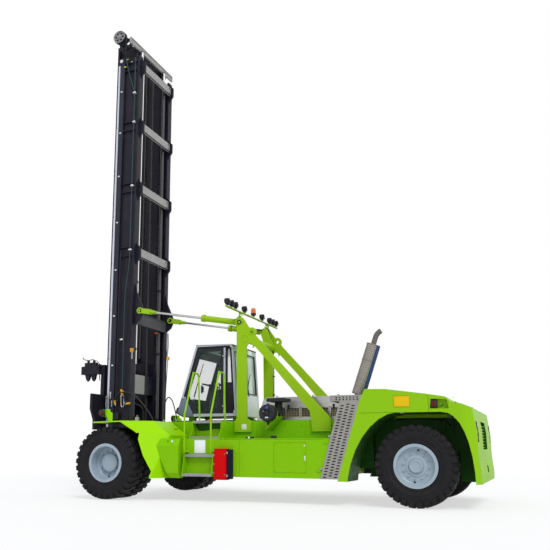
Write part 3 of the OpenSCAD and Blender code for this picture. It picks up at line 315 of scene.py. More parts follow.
def leafChain():
    # plates and pins along the chain, as a pattern
    f = Finish("chainSteel")
    pitch = (f.axis("Z") * 19.7).part()
    leaf = (f.axis("Y") * 62.0).part()
    pin = 1 - f.step((pitch - 0.5).maths("ABSOLUTE"), 0.1, 0.16)
    gap = f.step((leaf - 0.5).maths("ABSOLUTE"), 0.36, 0.46)
    f.set(Base_Color=f.mix(gap, f.mix(pin, (0.045, 0.044, 0.042), (0.12, 0.115, 0.11)), (0.006, 0.006,
            0.006)))
    f.set(Metallic=0.6, Roughness=gap * 0.3 + 0.38, Specular_IOR_Level=0.3)
    f.bump(pin - gap, 0.5, 0.004)
    return f.material


def ribbedCloth():
    # black seat fabric with fine rows across it
    f = Finish("clothBlack")
    rows = (f.axis("Y") * 260.0).part()
    weave = f.noise(900.0, 2.0, 0.7)
    f.set(Base_Color=f.mix(weave, (0.012, 0.012, 0.014), (0.045, 0.045, 0.05)), Roughness=weave * 0.2 + 0.75)
    f.set(Sheen_Weight=0.25, Specular_IOR_Level=0.2)
    f.bump(f.step(rows, 0.1, 0.5) * 0.6 + weave * 0.5, 0.35, 0.002)
    return f.material


clothBlack = ribbedCloth()
lime = limePaint()
hoodLime = limePaint("hoodLime", paintLook["limeHood"])
# these three carry painted shade inside the wheel arches
rearLime = limePaint("rearLime", paintLook["limeHood"], arch=(rearX - frontX, 1.3, 1.585, False))
deckLime = limePaint("deckLime", arch=(rearX - frontX, 1.3, 1.585, False))
frontLime = limePaint("frontLime", paintLook["limeFront"], arch=(0.0, 1.2, 1.985, True))
frameLime = limePaint("frameLime", (0.27, 0.48, 0.008), (0.33, 0.48, 0.04))
shadeLime = limePaint("shadeLime", (0.045, 0.12, 0.002), (0.07, 0.14, 0.012))
# painted shade: the dark green of the shaded wheel arches, also under the step treads
archGreen = limePaint("archGreen", (0.014, 0.075, 0.002), (0.02, 0.085, 0.006))
plateYellow = plainPaint("plateYellow", (0.7, 0.47, 0.004), (0.62, 0.42, 0.01), 0.4, grain=700.0, gloss=0.1)
mastBlack = plainPaint("mastBlack", (0.01, 0.009, 0.017), (0.024, 0.021, 0.033), 0.46, gloss=0.22)
beamPaint = ((0.3, 0.295, 0.285), (0.38, 0.37, 0.36), 0.46, 0.0)
darkPaint = ((0.012, 0.012, 0.02), (0.03, 0.03, 0.042), 0.46, 0.0)
dimPaint = ((0.055, 0.056, 0.062), (0.085, 0.085, 0.09), 0.5, 0.0)
chromePaint = ((0.55, 0.55, 0.57), (0.42, 0.42, 0.44), 0.22, 1.0)
forkPaint = ((0.27, 0.48, 0.008), (0.33, 0.48, 0.04), 0.36, 0.0)
tealPaint = ((0.018, 0.055, 0.058), (0.03, 0.07, 0.07), 0.5, 0.0)
beamGrey = twoFinish("beamGrey", lambda f: f.axis("Z") > 4.2, dimPaint, beamPaint)
barGrey = twoFinish("barGrey", lambda f: ((f.axis("Z") > 10.2) * (f.axis("X") < frontX + 0.41)
                                          + (f.axis("Z") < 3.0) * (f.axis("Y") > -0.16)).clamped(),
                    darkPaint, beamPaint)
tiltSteel = twoFinish("tiltSteel", lambda f: f.axis("X") > frontX - 0.3, chromePaint, forkPaint)
lampBar = twoFinish("lampBar", lambda f: f.axis("Z") > 3.722, forkPaint, darkPaint)
drumGrey = plainPaint("drumGrey", (0.26, 0.26, 0.27), (0.16, 0.15, 0.14), 0.4, metallic=0.5, gloss=0.3)
pipePaint = twoFinish("pipePaint", lambda f: f.axis("X") > frontX + 0.47, tealPaint, darkPaint)
hoseTeal = plainPaint("hoseTeal", (0.018, 0.055, 0.058), (0.03, 0.07, 0.07), 0.5, grain=800.0, gloss=0.3)
clipWhite = plainPaint("clipWhite", (0.72, 0.72, 0.72), (0.6, 0.6, 0.6), 0.45, grain=500.0)
clipYellow = plainPaint("clipYellow", (0.62, 0.72, 0.06), (0.5, 0.55, 0.08), 0.45, grain=500.0)
capYellow = plainPaint("capYellow", (0.75, 0.36, 0.01), (0.55, 0.26, 0.02), 0.45, grain=500.0)
capRed = plainPaint("capRed", (0.55, 0.06, 0.01), (0.42, 0.05, 0.02), 0.45, grain=500.0)
bandBlue = plainPaint("bandBlue", (0.02, 0.021, 0.034), (0.034, 0.035, 0.048), 0.5, gloss=0.25)
stripSilver = plainPaint("stripSilver", (0.56, 0.58, 0.66), (0.44, 0.46, 0.52), 0.35, metallic=0.3)
barrelBlack = plainPaint("barrelBlack", (0.03, 0.03, 0.037), (0.04, 0.04, 0.047), 0.22, metallic=0.2,
                         gloss=0.9)
axleBlack = plainPaint("axleBlack", (0.016, 0.016, 0.018), (0.05, 0.045, 0.04), 0.55, gloss=0.25)
cabSilver = cabPaint()
panelWhite = plainPaint("panelWhite", (0.8, 0.82, 0.84), (0.72, 0.73, 0.74), 0.42)
# painted shade: dark grey for the cab linings, the shade inside the cab
liningShadeGrey = plainPaint("liningShadeGrey", (0.055, 0.058, 0.062), (0.08, 0.08, 0.085), 0.6, grain=500.0, gloss=0.25)
blackPlastic = plainPaint("blackPlastic", (0.014, 0.015, 0.018), (0.035, 0.035, 0.04), 0.5, grain=420.0,
                          gloss=0.28)
rubberTrim = plainPaint("rubberTrim", (0.01, 0.01, 0.011), (0.03, 0.03, 0.03), 0.7, grain=600.0, gloss=0.2)
hoseBlack = plainPaint("hoseBlack", (0.012, 0.013, 0.016), (0.04, 0.04, 0.045), 0.55, grain=800.0, depth=0.3,
                       gloss=0.3)
navyPlastic = plainPaint("navyPlastic", (0.006, 0.007, 0.022), (0.015, 0.016, 0.034), 0.55, grain=500.0,
                         gloss=0.12)
pipeBlue = plainPaint("pipeBlue", (0.01, 0.045, 0.16), (0.02, 0.05, 0.12), 0.35, gloss=0.4)
blueMark = plainPaint("blueMark", (0.02, 0.1, 0.45), (0.03, 0.13, 0.45), 0.4, grain=300.0)
redPlastic = plainPaint("redPlastic", (0.56, 0.001, 0.002), (0.48, 0.003, 0.004), 0.5, gloss=0.08)
orangeLens = glow("orangeLens", (0.8, 0.12, 0.004), 0.08)
redLens = glow("redLens", (0.55, 0.01, 0.01), 0.1)
castIron = plainPaint("castIron", (0.05, 0.05, 0.055), (0.1, 0.085, 0.07), 0.6, metallic=0.2, depth=0.3)
rimPaint = plainPaint("rimPaint", (0.3, 0.37, 0.43), (0.24, 0.29, 0.34), 0.4, coat=0.1, gloss=0.3)
zinc = brushedMetal("zinc", (0.54, 0.53, 0.515), (0.38, 0.375, 0.37), 0.3)
plateSteel = plainPaint("plateSteel", (0.3, 0.29, 0.27), (0.22, 0.215, 0.2), 0.5, metallic=0.35, depth=0.2)
treadSteel = plainPaint("treadSteel", (0.3, 0.3, 0.3), (0.2, 0.2, 0.19), 0.5, metallic=0.5, depth=0.3)
copperGrid = plainPaint("copperGrid", (0.34, 0.27, 0.2), (0.26, 0.2, 0.14), 0.45, metallic=0.3)
shieldSteel = brushedMetal("shieldSteel", (0.42, 0.39, 0.36), (0.27, 0.24, 0.22), 0.36)
scaleSteel = plainPaint("scaleSteel", (0.15, 0.14, 0.135), (0.1, 0.08, 0.07), 0.42, metallic=0.8)
chrome = brushedMetal("chrome", (0.8, 0.8, 0.82), (0.7, 0.7, 0.72), 0.08)
chainSteel = leafChain()
rubber = tyreRubber()
reflectorRed = plainPaint("reflectorRed", (0.115, 0.006, 0.003), (0.09, 0.008, 0.005), 0.4, gloss=0.3)
glass = windowGlass()
lampGlass = glow("lampGlass", (0.75, 0.8, 0.82), 0.15, 0.12)
# painted light: a faint glow on the cab ceiling, though it is no lamp
ceilingPaintedLight = glow("ceilingPaintedLight", (0.36, 0.48, 0.45), 0.22, 0.5)

nodeFinish = {
    lime: ["side_tanks", "left_steps"],
    deckLime: ["chassis"],
    hoodLime: ["hood", "handrails"],
    rearLime: ["rear_body", "counterweight"],
    frontLime: ["front_fenders"],
    plateSteel: ["rear_steps"],
    frameLime: ["a_frames", "left_tilt_barrel", "right_tilt_barrel"],
    lampBar: ["light_bar"],
    axleBlack: ["front_axle", "steer_axle", "left_knuckle", "right_knuckle"],
    cabSilver: ["cab_shell"],
    blackPlastic: ["cab_controls", "driver_seat", "cab_door", "air_cleaner"],
    glass: ["cab_glass", "cab_door_glass"],
    redPlastic: ["extinguisher_box"],
    castIron: ["engine"],
    zinc: ["engine_cover"],
    drumGrey: ["hose_sheave"],
    scaleSteel: ["exhaust"],
    mastBlack: ["outer_rails", "inner_rails", "carriage", "lift_arms"],
    barrelBlack: ["lift_barrels"],
    pipePaint: ["mast_pipes"],
    beamGrey: ["outer_crossbeams"],
    barGrey: ["inner_crossbars"],
    chrome: ["lift_rods"],
    tiltSteel: ["left_tilt_rod", "right_tilt_rod"],
    chainSteel: ["lift_chains"],
    rubber: ["left_front_tyres", "right_front_tyres", "left_rear_tyre", "right_rear_tyre"],
    rimPaint: ["left_front_rims", "right_front_rims", "left_rear_rim", "right_rear_rim"],
}
for finish, names in nodeFinish.items():
    for name in names:
        for place in nodes[name].material_slots:
            place.material = finish
print("finishes on", sum(len(names) for names in nodeFinish.values()), "nodes")


def circle(count, radius=1.0, shift=0.0):
    # even places on a circle; shift counts in steps
    turns = [2 * math.pi * (i + shift) / count for i in range(count)]
    return [(radius * math.cos(a), radius * math.sin(a)) for a in turns]


def corners(low, high, by=0.0):
    # the four corners of a rectangle, drawn in by a margin
    return [(low[0] + by, low[1] + by), (high[0] - by, low[1] + by), (high[0] - by, high[1] - by),
            (low[0] + by, high[1] - by)]


alongX, alongY, alongZ = (1, 0, 0), (0, 1, 0), (0, 0, 1)


class Shape:
    # the mesh of one piece; x counts from the front axle

    def __init__(self):
        self.mesh = bmesh.new()

    def grid(self, rows, capped=True):
        # joins rings of points, one after the other
        rings = [[self.mesh.verts.new(point) for point in row] for row in rows]
        for near, far in zip(rings, rings[1:]):
            for i in range(len(near)):
                j = (i + 1) % len(near)
                self.mesh.faces.new((near[i], near[j], far[j], far[i]))
        if capped:
            self.mesh.faces.new(rings[0])
            self.mesh.faces.new(rings[-1])
        return [v for ring in rings for v in ring]

    def box(self, low, high, bevel=0.0):
        xs, (y0, y1), (z0, z1) = (sorted(pair) for pair in zip(low, high))
        self.soften(self.grid([[(x, y0, z0), (x, y1, z0), (x, y1, z1), (x, y0, z1)] for x in xs]), bevel)

    def soften(self, made, bevel):
        if bevel:
            edges = list(dict.fromkeys(e for v in made for e in v.link_edges))
            bmesh.ops.bevel(self.mesh, geom=edges, offset=bevel, segments=2, affect="EDGES", profile=0.6)

    def plate(self, outline, axis, low, high, bevel=0.0):
        def lift(a, b, c):
            return {"x": (c, a, b), "y": (a, c, b), "z": (a, b, c)}[axis]
        rows = [[lift(a, b, c) for a, b in outline] for c in (low, high)]
        self.soften(self.grid(rows), bevel)

    def lathe(self, profile, centre, axis, sides=32):
        # profile: (radius, distance along the axis)
        centre, axis = Vector(centre), Vector(axis).normalized()
        one = (axis.orthogonal() if abs(axis.z) > 0.9 else axis.cross(alongZ)).normalized()
        two = axis.cross(one)
        rows = [[centre + axis * along + one * a + two * b for a, b in circle(sides, max(radius, 0.0004))]
                for radius, along in profile]
        return self.grid(rows, capped=profile[0] != profile[-1])

    def rod(self, start, end, radius, sides=16, bevel=0.0):
        start, end = Vector(start), Vector(end)
        length = (end - start).length
        profile = [(radius - bevel, 0), (radius, bevel), (radius, length - bevel), (radius - bevel, length)]
        self.lathe(profile if bevel else [(radius, 0), (radius, length)], start, end - start, sides)

    def bolt(self, place, axis, size=0.02, washer=True):
        h = size * 0.62
        if washer:
            self.lathe([(size * 0.85, -0.004), (size * 0.85, 0.003), (size * 0.8, 0.004)], place, axis, 14)
        self.lathe([(size * 0.56, 0.0), (size * 0.56, h * 0.85), (size * 0.46, h), (size * 0.3, h)], place,
                   axis, 6)

    def bolts(self, places, axis, size=0.02):
        for place in places:
            self.bolt(place, axis, size)

    def tube(self, points, radius, sides=10, closed=False, smooth=0):
        points = [Vector(p) for p in points]
        if smooth:
            points = curved(points, smooth)
        rows, side = [], None
        count = len(points)
        for i, point in enumerate(points):
            before = points[i - 1] if i or closed else point
            after = points[(i + 1) % count] if i + 1 < count or closed else point
            way = (after - before).normalized()
            side = way.orthogonal() if side is None else side - way * side.dot(way)
            side.normalize()
            other = way.cross(side)
            rows.append([point + side * a + other * b for a, b in circle(sides, radius)])
        if closed:
            rows.append(rows[0])
        self.grid(rows, capped=not closed)

    def done(self, name, finish, body="machine", angle=35):
        bmesh.ops.remove_doubles(self.mesh, verts=self.mesh.verts, dist=0.00005)
        bmesh.ops.dissolve_degenerate(self.mesh, edges=self.mesh.edges, dist=0.00001)
        bmesh.ops.recalc_face_normals(self.mesh, faces=self.mesh.faces)
        bmesh.ops.translate(self.mesh, vec=(frontX, 0, 0), verts=self.mesh.verts)
        data = bpy.data.meshes.new(name)
        self.mesh.to_mesh(data)
        self.mesh.free()
        data.materials.append(finish)
        for face in data.polygons:
            face.use_smooth = True
        data.set_sharp_from_angle(angle=math.radians(angle))
        piece = bpy.data.objects.new(name, data)
        bpy.context.scene.collection.objects.link(piece)
        if body:
            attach(piece, body)
        return piece


def mirror(*shapes):
    # adds the same parts on the other side of the machine
    for mesh in (shape.mesh for shape in shapes):
        made = bmesh.ops.duplicate(mesh, geom=mesh.verts[:] + mesh.edges[:] + mesh.faces[:])
        for item in made["geom"]:
            if isinstance(item, bmesh.types.BMVert):
                item.co.y = -item.co.y


def curved(points, steps=6):
    # a smooth line through the points
    out = []
    for i in range(len(points) - 1):
        a, b = points[max(i - 1, 0)], points[i]
        c, d = points[i + 1], points[min(i + 2, len(points) - 1)]
        for k in range(steps):
            t = k / steps
            out.append(0.5 * (2 * b + (c - a) * t + (2 * a - 5 * b + 4 * c - d) * t * t
                              + (3 * b - a - 3 * c + d) * t ** 3))
    return out + [points[-1]]


surfaces = {}


def touch(node, start, way):
    # where a line from a place first meets a CAD piece
    if node not in surfaces:
        mesh = bmesh.new()
        mesh.from_mesh(nodes[node].data)
        surfaces[node] = BVHTree.FromBMesh(mesh)
        mesh.free()
    hit = surfaces[node].ray_cast(fromFront(*start), Vector(way).normalized())[0]
    return None if hit is None else hit - Vector((frontX, 0, 0))


def spots(node, starts, way):
    # the same for many lines, without those that miss
    found = [touch(node, start, way) for start in starts]
    return [spot for spot in found if spot is not None]


tyreLook = {
    "lugs": 30,
    "depth": 0.022,
    "shoulderWidth": 0.1,
    "centreWidth": 0.06,
    "skew": 0.1,
    "segments": 120,
    # side wall: distance out from the rim and in from the tyre's face, then shares of the wall's height
    "bead": [(0.034, 0.026), (0.044, 0.021)],
    "wall": [(0.075, -0.008), (0.1, -0.003), (0.106, 0.001), (0.116, 0.001), (0.122, -0.003)],
    "shoulder": [(0.5, -0.002), (0.6, -0.006), (0.72, -0.016), (0.84, -0.03)],
    # a lug: share of the half width, drop of its top and of its root, and where the root lies
    "lug": [(-0.06, 0.001, 0.006, -0.06), (0.12, 0, 0.006, 0.12), (0.45, 0.001, 0.006, 0.45),
            (0.74, 0.003, 0.01, 0.7),
            (0.9, 0.009, 0.02, 0.8), (0.985, 0.024, 0.03, 0.84), (1.0, 0.055, 0.05, 0.88),
            (0.985, 0.1, 0.085, 0.93)],
}


def tyreInto(shape, centre, half):
    rim, bead = rimR, half * 0.8
    base = tyreR - tyreLook["depth"]
    side = [(rim - 0.03, bead - 0.004), (rim + 0.004, bead), (rim + 0.016, bead + 0.02)]
    side += [(rim + out, bead + along) for out, along in tyreLook["bead"]]
    side += [(rim + out, half + along) for out, along in tyreLook["wall"]]
    side += [(rim + share * (tyreR - rim), half + along) for share, along in tyreLook["shoulder"]]
    side += [(base - 0.002, half - 0.048), (base + 0.001, half * 0.5), (base + 0.002, 0)]
    profile = side + [(r, -h) for r, h in side[-2::-1]]
    shape.lathe(profile + [profile[0]], centre, alongY, tyreLook["segments"])
    thin, thick = tyreLook["centreWidth"], tyreLook["shoulderWidth"]
    for hand in (1, -1):
        for k in range(tyreLook["lugs"]):
            turn = 2 * math.pi * (k + (0.5 if hand < 0 else 0)) / tyreLook["lugs"]
            rows = []
            for share, drop, root, deep in tyreLook["lug"]:
                wide = thin + (thick - thin) * min(share * 1.3, 1)
                lean = turn + tyreLook["skew"] * (abs(share) ** 1.5) * (0.6 if share < 0.9 else 0.55)
                high, low = tyreR - drop, base - root
                row = []
                for width, radius, out in ((-0.5, low, deep), (-0.42, high, share), (0.42, high, share),
                                           (0.5, low, deep)):
                    a = lean + width * wide / tyreR
                    row.append(Vector(centre) + Vector((radius * math.cos(a), hand * out * half,
                                                        radius * math.sin(a))))
                rows.append(row)
            shape.grid(rows)


def makeTyres():
    half = tyreW / 2
    for hand in ("left", "right"):
        low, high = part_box(f"{hand}_front_tyres")
        front, rear = Shape(), Shape()
        for y in (low.y + half, high.y - half):
            tyreInto(front, (0, y, axleZ), half)
        tyreInto(rear, (rearX - frontX, middle(f"{hand}_rear_tyre").y, axleZ), half)
        piece = front.done(f"{hand}FrontTyres", rubber, f"{hand}_front_wheel", 28)
        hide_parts(f"{hand}_front_tyres")
        piece = rear.done(f"{hand}RearTyre", rubber, f"{hand}_rear_wheel", 28)
        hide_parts(f"{hand}_rear_tyre")


rimLook = {
    "nuts": 12,
    "nutCircle": 0.215,
    "nutSize": 0.03,
    "hubRing": 0.178,
    "hubDisc": 0.105,
    "hubCap": 0.172,
    "valve": (0.285, 2.2),
    "holes": (0.268, (1.75, 4.85)),
    "capBolts": (0.6, 1.65, 2.7, 3.75, 4.8, 5.85),
}


def makeRims():
    for hand, side in (("left", 1), ("right", -1)):
        for end, x in (("front", 0), ("rear", rearX - frontX)):
            out = (0, side, 0)
            paint, dark, nuts = (Shape() for _ in range(3))
            near = rimLook["nutCircle"]
            node = f"{hand}_front_rims" if end == "front" else f"{hand}_rear_rim"
            face, hub = (touch(node, (x + away, side * 3, axleZ), (0, -side, 0)).y for away in (near, 0.02))

            def on(radius, turn, y):
                return Vector((x + radius * math.cos(turn), y, axleZ + radius * math.sin(turn)))

            if end == "front":
                cap = rimLook["hubCap"]
                paint.lathe([(0.13, -0.03), (cap, -0.028), (cap, 0.01), (cap - 0.006, 0.016), (cap - 0.016,
                        0.018), (0.001, 0.021)], (x, hub, axleZ), out, 64)
                nuts.bolts([on(cap - 0.03, turn, hub + side * 0.018) for turn in rimLook["capBolts"]], out,
                           0.01)
            else:
                ring, disc = rimLook["hubRing"], rimLook["hubDisc"]
                paint.lathe([(0.128, -0.004), (ring, -0.004), (ring, 0.008), (ring - 0.006, 0.012),
                             (0.128, 0.012), (0.128, -0.004)], (x, face, axleZ), out, 64)
                paint.lathe([(0.06, -0.002), (disc, -0.002), (disc, 0.01), (disc - 0.006, 0.014),
                             (0.088, 0.014), (0.08, 0.006), (0.06, 0.006), (0.06, -0.002)], (x, hub, axleZ),
                            out, 48)
                for a, b in circle(8, 0.096, 0.5):
                    nuts.bolt((x + a, hub + side * 0.013, axleZ + b), out, 0.012, False)
            for a, b in circle(rimLook["nuts"], near, 0.25):
                spot = (x + a, face, axleZ + b)
                nuts.bolt(spot, out, rimLook["nutSize"])
                nuts.lathe([(0.01, 0), (0.01, 0.026), (0.006, 0.03)], spot, out, 10)
            # painted shade: the rim's holes as dark discs
            radius, turns = rimLook["holes"]
            for turn in turns:
                dark.lathe([(0.02, -0.001), (0.02, 0.0025), (0.015, 0.003)], on(radius, turn, face), out, 20)
            valve = on(*rimLook["valve"], face)
            dark.rod(valve, valve + Vector((0, side * 0.045, 0)), 0.006, 10)
            for shape, name, finish in ((paint, "HubRings", rimPaint), (nuts, "Nuts", rimPaint),
                                        (dark, "ValveAndHoleShade", blackPlastic)):
                shape.done(f"{hand}{end.title()}{name}", finish, f"{hand}_{end}_wheel")


makeTyres()
makeRims()
print("wheels ready")

seatLook = {
    "base": ((-1.985, -0.232, 1.978), (-1.535, 0.232, 2.082)),
    "back": [(-1.985, 2.1), (-1.885, 2.1), (-1.952, 2.62), (-1.962, 2.68), (-2.025, 2.68)],
    "backHalf": 0.222,
    "voxel": 0.012,
    "swell": 0.016,
    "channels": (-0.11, 0, 0.11),
    "channelDepth": 0.007,
}


def baked(piece):
    # the piece's mesh with its modifiers applied
    data = bpy.data.meshes.new_from_object(piece.evaluated_get(bpy.context.evaluated_depsgraph_get()))
    piece.modifiers.clear()
    piece.data = data
    return data


def inflate(piece, cap):
    # puffs a closed mesh with a short cloth run, and keeps the result
    start = [v.co.copy() for v in piece.data.vertices]
    cloth = piece.modifiers.new("puff", "CLOTH")
    cloth.settings.use_pressure = True
    cloth.settings.uniform_pressure_force = 4
    cloth.settings.effector_weights.gravity = 0
    for frameNumber in range(1, 21):
        bpy.context.scene.frame_set(frameNumber)
    solved = piece.evaluated_get(bpy.context.evaluated_depsgraph_get())
    ends = [v.co.copy() for v in solved.data.vertices]
    piece.modifiers.clear()
    bpy.context.scene.frame_set(1)
    for v, a, b in zip(piece.data.vertices, start, ends):
        move = b - a
        v.co = a + move * min(1, cap / max(move.length, 1e-6))


def makeSeat():
    half, deep = seatLook["backHalf"], seatLook["channelDepth"]
    for name, inward in (("seatCushion", Vector(alongZ)), ("seatBack", Vector((0.9, 0, 0.1)))):
        shape = Shape()
        if name == "seatBack":
            shape.plate(seatLook["back"], "y", -half, half, 0.024)
        else:
            shape.box(*seatLook["base"], 0.028)
        piece = shape.done(name, clothBlack, angle=60)
        remesh = piece.modifiers.new("even", "REMESH")
        remesh.mode = "VOXEL"
        remesh.voxel_size = seatLook["voxel"]
        remesh.use_smooth_shade = True
        baked(piece)
        inflate(piece, seatLook["swell"])
        smooth = piece.modifiers.new("round", "SUBSURF")
        smooth.levels = smooth.render_levels = 1
        fine = baked(piece)
        for v in fine.vertices:
            for line in seatLook["channels"]:
                v.co -= inward * (deep * math.exp(-((v.co.y - line) / deep) ** 2))
        fine.materials.clear()
        fine.materials.append(clothBlack)
        if name == "seatCushion":
            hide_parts("driver_seat")
    trim = Shape()
    trim.box((-2.035, -0.12, 2.7), (-1.965, 0.12, 2.83), 0.03)
    for y in (-0.06, 0.06):
        trim.rod((-2.0, y, 2.64), (-2.0, y, 2.72), 0.007)
    for y in (-0.29, 0.29):
        trim.box((-1.93, y - 0.035, 2.24), (-1.6, y + 0.035, 2.285), 0.016)
        trim.rod((-1.9, y, 2.162), (-1.9, y, 2.25), 0.014)
    for z in (1.955, 1.935, 1.915):
        trim.box((-1.97, -0.215, z - 0.006), (-1.55, 0.215, z + 0.006), 0.005)
    trim.done("seatTrim", blackPlastic)


cabLook = {
    "side": [(-1.87, 1.655), (-1.87, 2.993), (-1.2966, 2.993), (-1.0002, 2.03), (-1.19, 1.655)],
    "quarter": [(-1.935, 1.715), (-1.935, 2.993), (-2.02, 2.993), (-2.088, 1.715)],
    "trim": [[(-1.2966, 2.993), (-1.0002, 2.03), (-0.968, 2.03), (-1.262, 2.993)],
             [(-1.19, 1.655), (-1.0002, 2.03), (-0.968, 2.03), (-1.155, 1.655)],
             [(-1.262, 2.993), (-1.275, 3.034), (-2.007, 3.03), (-2.02, 2.993)],
             [(-2.02, 2.993), (-2.088, 1.715), (-2.116, 1.715), (-2.045, 2.993)],
             [(-1.912, 1.655), (-1.912, 2.993), (-1.935, 2.993), (-1.935, 1.715), (-2.088, 1.715),
              (-2.1, 1.655)],
             [(-1.935, 1.715), (-1.935, 2.28), (-2.058, 2.28), (-2.088, 1.715)]],
    "face": 0.65,
    "inside": 0.604,
    "gasket": 0.011,
    "screen": (0.562, 1.852, 2.976),
    "rearWindow": (0.532, 2.092, 2.916),
    "roofLip": 0.012,
    "ribs": (-0.4, -0.13, 0.13, 0.4),
    "pedals": (-0.2, -0.05, 0.14),
}


def inset(outline, by):
    # the outline drawn in towards its middle
    cx, cz = (sum(place[i] for place in outline) / len(outline) for i in (0, 1))
    out = []
    for x, z in outline:
        pull = by * 1.25 / math.hypot(x - cx, z - cz)
        out.append((x + (cx - x) * pull, z + (cz - z) * pull))
    return out


def screenX(z):
    return -0.85 - (z - 1.79) * 0.39 / 1.278


def makeCabSeals():
    seals, size = Shape(), cabLook["gasket"]
    rings = [(cabLook["quarter"], 1), (cabLook["quarter"], -1), (cabLook["side"], -1)]
    for outline, side in rings:
        for y, by in ((cabLook["face"] + 0.0005, 0.006), (cabLook["inside"], 0.004)):
            seals.tube([(x, side * y, z) for x, z in inset(outline, by)], size, 8, True)
    half, low, high = cabLook["screen"]
    seals.tube([(screenX(z) + 0.001, y, z) for y, z in corners((-half, low), (half, high))], size, 8, True)
    half, low, high = cabLook["rearWindow"]
    seals.tube([(-2.118 + (z - low) * 0.0657, y, z) for y, z in corners((-half, low), (half, high))], size,
               8, True)
    seals.done("cabSeals", rubberTrim)


def makeCabInside():
    # painted shade: dark linings of the pillars, the roof and the walls, seen through the glass
    shadeLining, paintedLightCeiling, dark = (Shape() for _ in range(3))
    wall = cabLook["inside"]
    for y in (wall - 0.016, -wall):
        shadeLining.plate(corners((-1.915, 1.66), (-1.88, 3.0)), "y", y, y + 0.016, 0.003)
    for y in (0.575, -0.6):
        low, high = screenX(1.86), screenX(2.99)
        shadeLining.plate([(low - 0.06, 1.86), (high - 0.06, 2.99), (high - 0.105, 2.99), (low - 0.105, 1.86)],
                     "y", y, y + 0.025, 0.004)
    for low, high, bevel in (((-2.005, -0.595, 2.978), (-1.285, 0.595, 2.996), 0.004),
                             ((-1.64, -0.12, 2.955), (-1.5, 0.12, 2.98), 0.01), ((-2.08, -0.595, 1.646),
            (-1.0, 0.595, 1.656), 0.002), ((-1.86, -0.598, 1.66), (-1.3, -0.44, 2.15), 0.02)):
        shadeLining.box(low, high, bevel)
    shadeLining.plate([(-2.098, 1.66), (-2.098, 2.06), (-2.06, 2.06), (-2.07, 1.66)], "y", -0.59, 0.59, 0.005)
    shadeLining.plate([(-1.01, 1.655), (-0.925, 1.7), (-0.935, 1.85), (-1.06, 1.965), (-1.16, 1.965),
                  (-1.075, 1.83), (-1.06, 1.655)], "y", -0.5, 0.5, 0.012)
    shadeLining.plate([(-1.29, 2.985), (-1.245, 2.905), (-1.25, 2.8), (-1.258, 2.8), (-1.262, 2.905),
                  (-1.31, 2.985)], "y", -0.5, 0.5, 0.002)
    shadeLining.plate([(-1.86, 1.66), (-1.86, 2.33), (-1.64, 2.33), (-1.42, 2.2), (-1.12, 2.18), (-1.05, 1.96),
                  (-1.17, 1.66)], "y", -0.6, -0.585, 0.004)
    # painted light: the glowing ceiling panel
    paintedLightCeiling.box((-1.96, -0.54, 2.968), (-1.32, 0.54, 2.979), 0.004)
    # joystick, screen, pedals, hub of the wheel and the consoles' keys
    dark.tube([(-1.5, -0.33, 2.155), (-1.47, -0.33, 2.23), (-1.465, -0.33, 2.3)], 0.013, 10, smooth=4)
    dark.lathe([(0.016, 0), (0.026, 0.02), (0.028, 0.06), (0.022, 0.09), (0.01, 0.1)], (-1.466, -0.33, 2.29),
               (0.05, 0, 1), 16)
    dark.box((-1.56, -0.395, 2.16), (-1.44, -0.265, 2.172), 0.004)
    dark.box((-1.215, -0.5, 2.205), (-1.19, -0.27, 2.375), 0.008)
    dark.tube([(-1.2, -0.385, 2.205), (-1.15, -0.39, 2.06), (-1.11, -0.39, 1.96)], 0.012, 8, smooth=4)
    for y in cabLook["pedals"]:
        dark.plate([(-1.045, 1.7), (-1.095, 1.825), (-1.105, 1.82), (-1.06, 1.698)], "y", y - 0.035,
                   y + 0.035, 0.003)
        dark.tube([(-1.075, y, 1.76), (-1.035, y, 1.76), (-1.01, y, 1.85)], 0.007, 8)
    dark.lathe([(0.052, 0), (0.06, 0.006), (0.052, 0.022), (0.02, 0.03)], (-1.287, 0, 2.283),
               (-0.242, 0, 0.97), 24)
    for y in (-0.36, -0.33, -0.3, 0.3, 0.33, 0.36):
        for x in (-1.62, -1.68, -1.74):
            dark.box((x - 0.018, y - 0.01, 2.158), (x + 0.018, y + 0.01, 2.168), 0.003)
    shadeLining.done("cabShadeLinings", liningShadeGrey)
    paintedLightCeiling.done("cabCeilingPaintedLight", ceilingPaintedLight)
    dark.done("cabFittings", blackPlastic)


